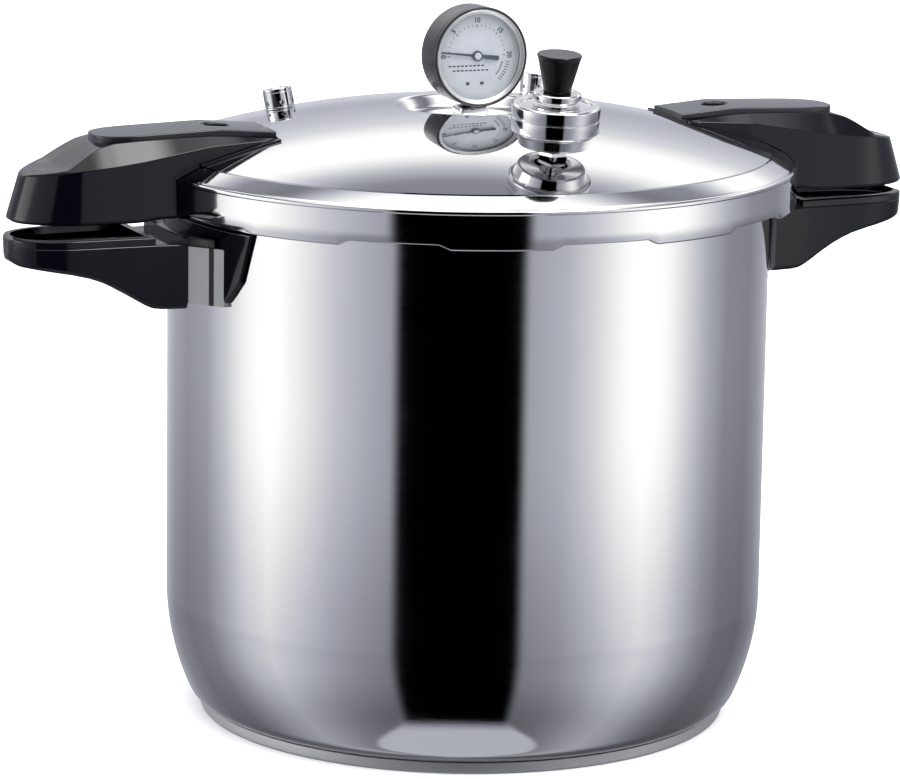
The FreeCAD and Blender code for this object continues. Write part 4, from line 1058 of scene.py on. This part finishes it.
def build_floor():
    bm = bmesh.new()
    reach, cells = 9.0, 8
    bmesh.ops.create_grid(bm, x_segments=cells, y_segments=cells, size=reach / MM)
    floor = finish_mesh("floor", bm, clean=False)
    shader = Shader("pale_floor", (0.93, 0.93, 0.935), roughness=0.7, Specular_IOR_Level=0.2)
    shader.tint(shader.noise(6.0, 3.0), (0.925, 0.925, 0.93), (0.935, 0.935, 0.94))
    floor.data.materials.append(shader.material)
    floor.visible_glossy = False


# brightness of the studio round the pot: degrees from the camera, positive to the right
ROUND_LIGHT = (
    (-180, 0.60), (-164, 0.62), (-150, 0.45), (-132, 0.36), (-116, 0.43), (-103, 0.72), (-92, 1.08),
    (-79, 1.32), (-62, 0.95), (-50, 0.68), (-37, 0.50), (-27.7, 0.42), (-24.8, 0.0), (20.5, 0.0),
    (23.4, 0.44), (37, 0.55), (49, 0.80), (60, 1.12), (71, 1.34), (82, 1.14), (92, 0.80), (103, 0.50),
    (116, 0.31), (135, 0.27), (150, 0.38), (165, 0.55), (180, 0.60),
)
# brightness of the studio behind the pot: degrees above the horizon
HIGH_LIGHT = ((0, 0.50), (8, 0.55), (17, 0.75), (21, 0.95), (26, 1.38), (31, 1.42), (35, 0.95), (39, 0.45),
              (43, 0.34), (50, 0.42), (58, 1.5), (66, 1.9), (75, 1.98), (90, 1.98))
# soft boxes: left, right, lower and upper edge in degrees, and brightness
SOFTBOXES = ((32, 75, 44, 76, 9.0), (-104, -62, -3, 18, 3.8))


def build_world():
    world = bpy.data.worlds.new("studio")
    world.use_nodes = True
    bpy.context.scene.world = world
    nodes, links = world.node_tree.nodes, world.node_tree.links
    nodes.clear()

    def math_node(operation, *values):
        node = nodes.new("ShaderNodeMath")
        node.operation = operation
        for index, value in enumerate(values):
            if isinstance(value, (int, float)):
                node.inputs[index].default_value = value
            else:
                links.new(value, node.inputs[index])
        return node.outputs[0]

    def span(value, start, stop, low_value=0.0, high_value=1.0):
        node = nodes.new("ShaderNodeMapRange")
        node.interpolation_type = "SMOOTHSTEP"
        links.new(value, node.inputs["Value"])
        numbers = {"From Min": start, "From Max": stop, "To Min": low_value, "To Max": high_value}
        for socket, number in numbers.items():
            node.inputs[socket].default_value = number
        return node.outputs["Result"]

    def along(direction):
        node = nodes.new("ShaderNodeVectorMath")
        node.operation = "DOT_PRODUCT"
        links.new(nodes.new("ShaderNodeTexCoord").outputs["Generated"], node.inputs[0])
        node.inputs[1].default_value = direction
        return node.outputs["Value"]

    def ramp(value, stops, start, stop, interpolation="CARDINAL"):
        """Brightness that follows a list of stops."""
        node = nodes.new("ShaderNodeValToRGB")
        node.color_ramp.interpolation = interpolation
        elements = node.color_ramp.elements
        while len(elements) > 1:
            elements.remove(elements[-1])
        for index, (position, brightness) in enumerate(stops):
            place_at = (position - start) / (stop - start)
            element = elements[0] if index == 0 else elements.new(place_at)
            element.position = place_at
            element.color = (brightness / 2, brightness / 2, brightness / 2, 1)
        share = math_node("DIVIDE", math_node("SUBTRACT", value, start), stop - start)
        links.new(share, node.inputs["Fac"])
        return math_node("MULTIPLY", node.outputs["Color"], 2.0)

    def blend(first, second, share):
        return math_node("ADD", math_node("MULTIPLY", first, math_node("SUBTRACT", 1.0, share)),
                         math_node("MULTIPLY", second, share))

    turn = math.radians(CAMERA_AZIMUTH)
    right = (math.cos(turn), math.sin(turn), 0)
    to_camera = (math.sin(turn), -math.cos(turn), 0)
    degrees = 180 / math.pi
    azimuth = math_node("MULTIPLY", math_node("ARCTAN2", along(right), along(to_camera)), degrees)
    elevation = math_node("MULTIPLY", math_node("ARCSINE", along((0, 0, 1))), degrees)

    around = ramp(azimuth, ROUND_LIGHT, -180, 180, "LINEAR")
    around = math_node("MULTIPLY", around, span(elevation, -17, -8.5, 0.66, 1.16))
    around = math_node("MULTIPLY", around, span(elevation, -48, -20, 0.55, 1.0))
    around = math_node("MULTIPLY", around, span(elevation, 6, 24, 1.0, 0.45))
    above = ramp(elevation, HIGH_LIGHT, 0, 90)
    behind = span(math_node("ABSOLUTE", azimuth), 75, 125)
    lifted = math_node("MULTIPLY", span(elevation, -1, 10), behind)
    overhead = span(elevation, 38, 52)
    light = blend(around, above, math_node("MAXIMUM", lifted, overhead))
    aside = math_node("ABSOLUTE", math_node("ADD", azimuth, 2.0))
    outside = span(math_node("SUBTRACT", aside, span(elevation, -48, -60, 24, 46)), 0, 5)
    ahead = math_node("MULTIPLY", span(elevation, -46, -53), math_node("SUBTRACT", 1.0, outside))
    light = blend(light, math_node("ADD", 0.0, 0.62), ahead)
    for left, right_side, low_side, high_side, strength in SOFTBOXES:
        across = math_node("MULTIPLY", span(azimuth, left, left + 12),
                           span(azimuth, right_side, right_side - 10))
        upward = math_node("MULTIPLY", span(elevation, low_side, low_side + 7),
                           span(elevation, high_side, high_side - 12))
        panel = math_node("MULTIPLY", math_node("MULTIPLY", across, upward), strength)
        light = math_node("ADD", light, panel)

    tint = nodes.new("ShaderNodeMix")
    tint.data_type = "RGBA"
    tint.inputs["A"].default_value = (0.93, 0.955, 1.09, 1)
    tint.inputs["B"].default_value = (1, 1, 1, 1)
    links.new(span(light, 0.5, 1.15), tint.inputs["Factor"])
    studio = nodes.new("ShaderNodeBackground")
    links.new(tint.outputs["Result"], studio.inputs["Color"])
    links.new(light, studio.inputs["Strength"])
    backdrop = nodes.new("ShaderNodeBackground")
    backdrop.inputs["Color"].default_value = (0.97, 0.97, 0.975, 1)
    path = nodes.new("ShaderNodeLightPath")
    mixer = nodes.new("ShaderNodeMixShader")
    links.new(path.outputs["Is Camera Ray"], mixer.inputs["Fac"])
    links.new(studio.outputs["Background"], mixer.inputs[1])
    links.new(backdrop.outputs["Background"], mixer.inputs[2])
    output = nodes.new("ShaderNodeOutputWorld")
    links.new(mixer.outputs["Shader"], output.inputs["Surface"])


def build_fill_light(name, energy, spread, tilt, turn):
    """Broad light for the floor, the dial and the mouldings; the steel reflects the studio instead."""
    data = bpy.data.lights.new(name, "SUN")
    data.energy = energy
    data.angle = math.radians(spread)
    light = bpy.data.objects.new(name, data)
    light.rotation_euler = (math.radians(tilt), 0, math.radians(turn))
    light.visible_glossy = False
    bpy.context.scene.collection.objects.link(light)


build_pot()
build_lid()
for handle_side in SIDES:
    build_lid_grip(handle_side)
    build_pot_grip(handle_side)
    build_collar(handle_side)
build_gauge()
build_weight()
for valve in VALVES:
    build_valve(valve)
dress_nodes()
build_camera()
build_floor()
build_world()
build_fill_light("overhead_fill", 2.2, 120, 8, 0)
build_fill_light("front_fill", 3.2, 100, 62, CAMERA_AZIMUTH)
bpy.context.scene.view_settings.view_transform = "Standard"
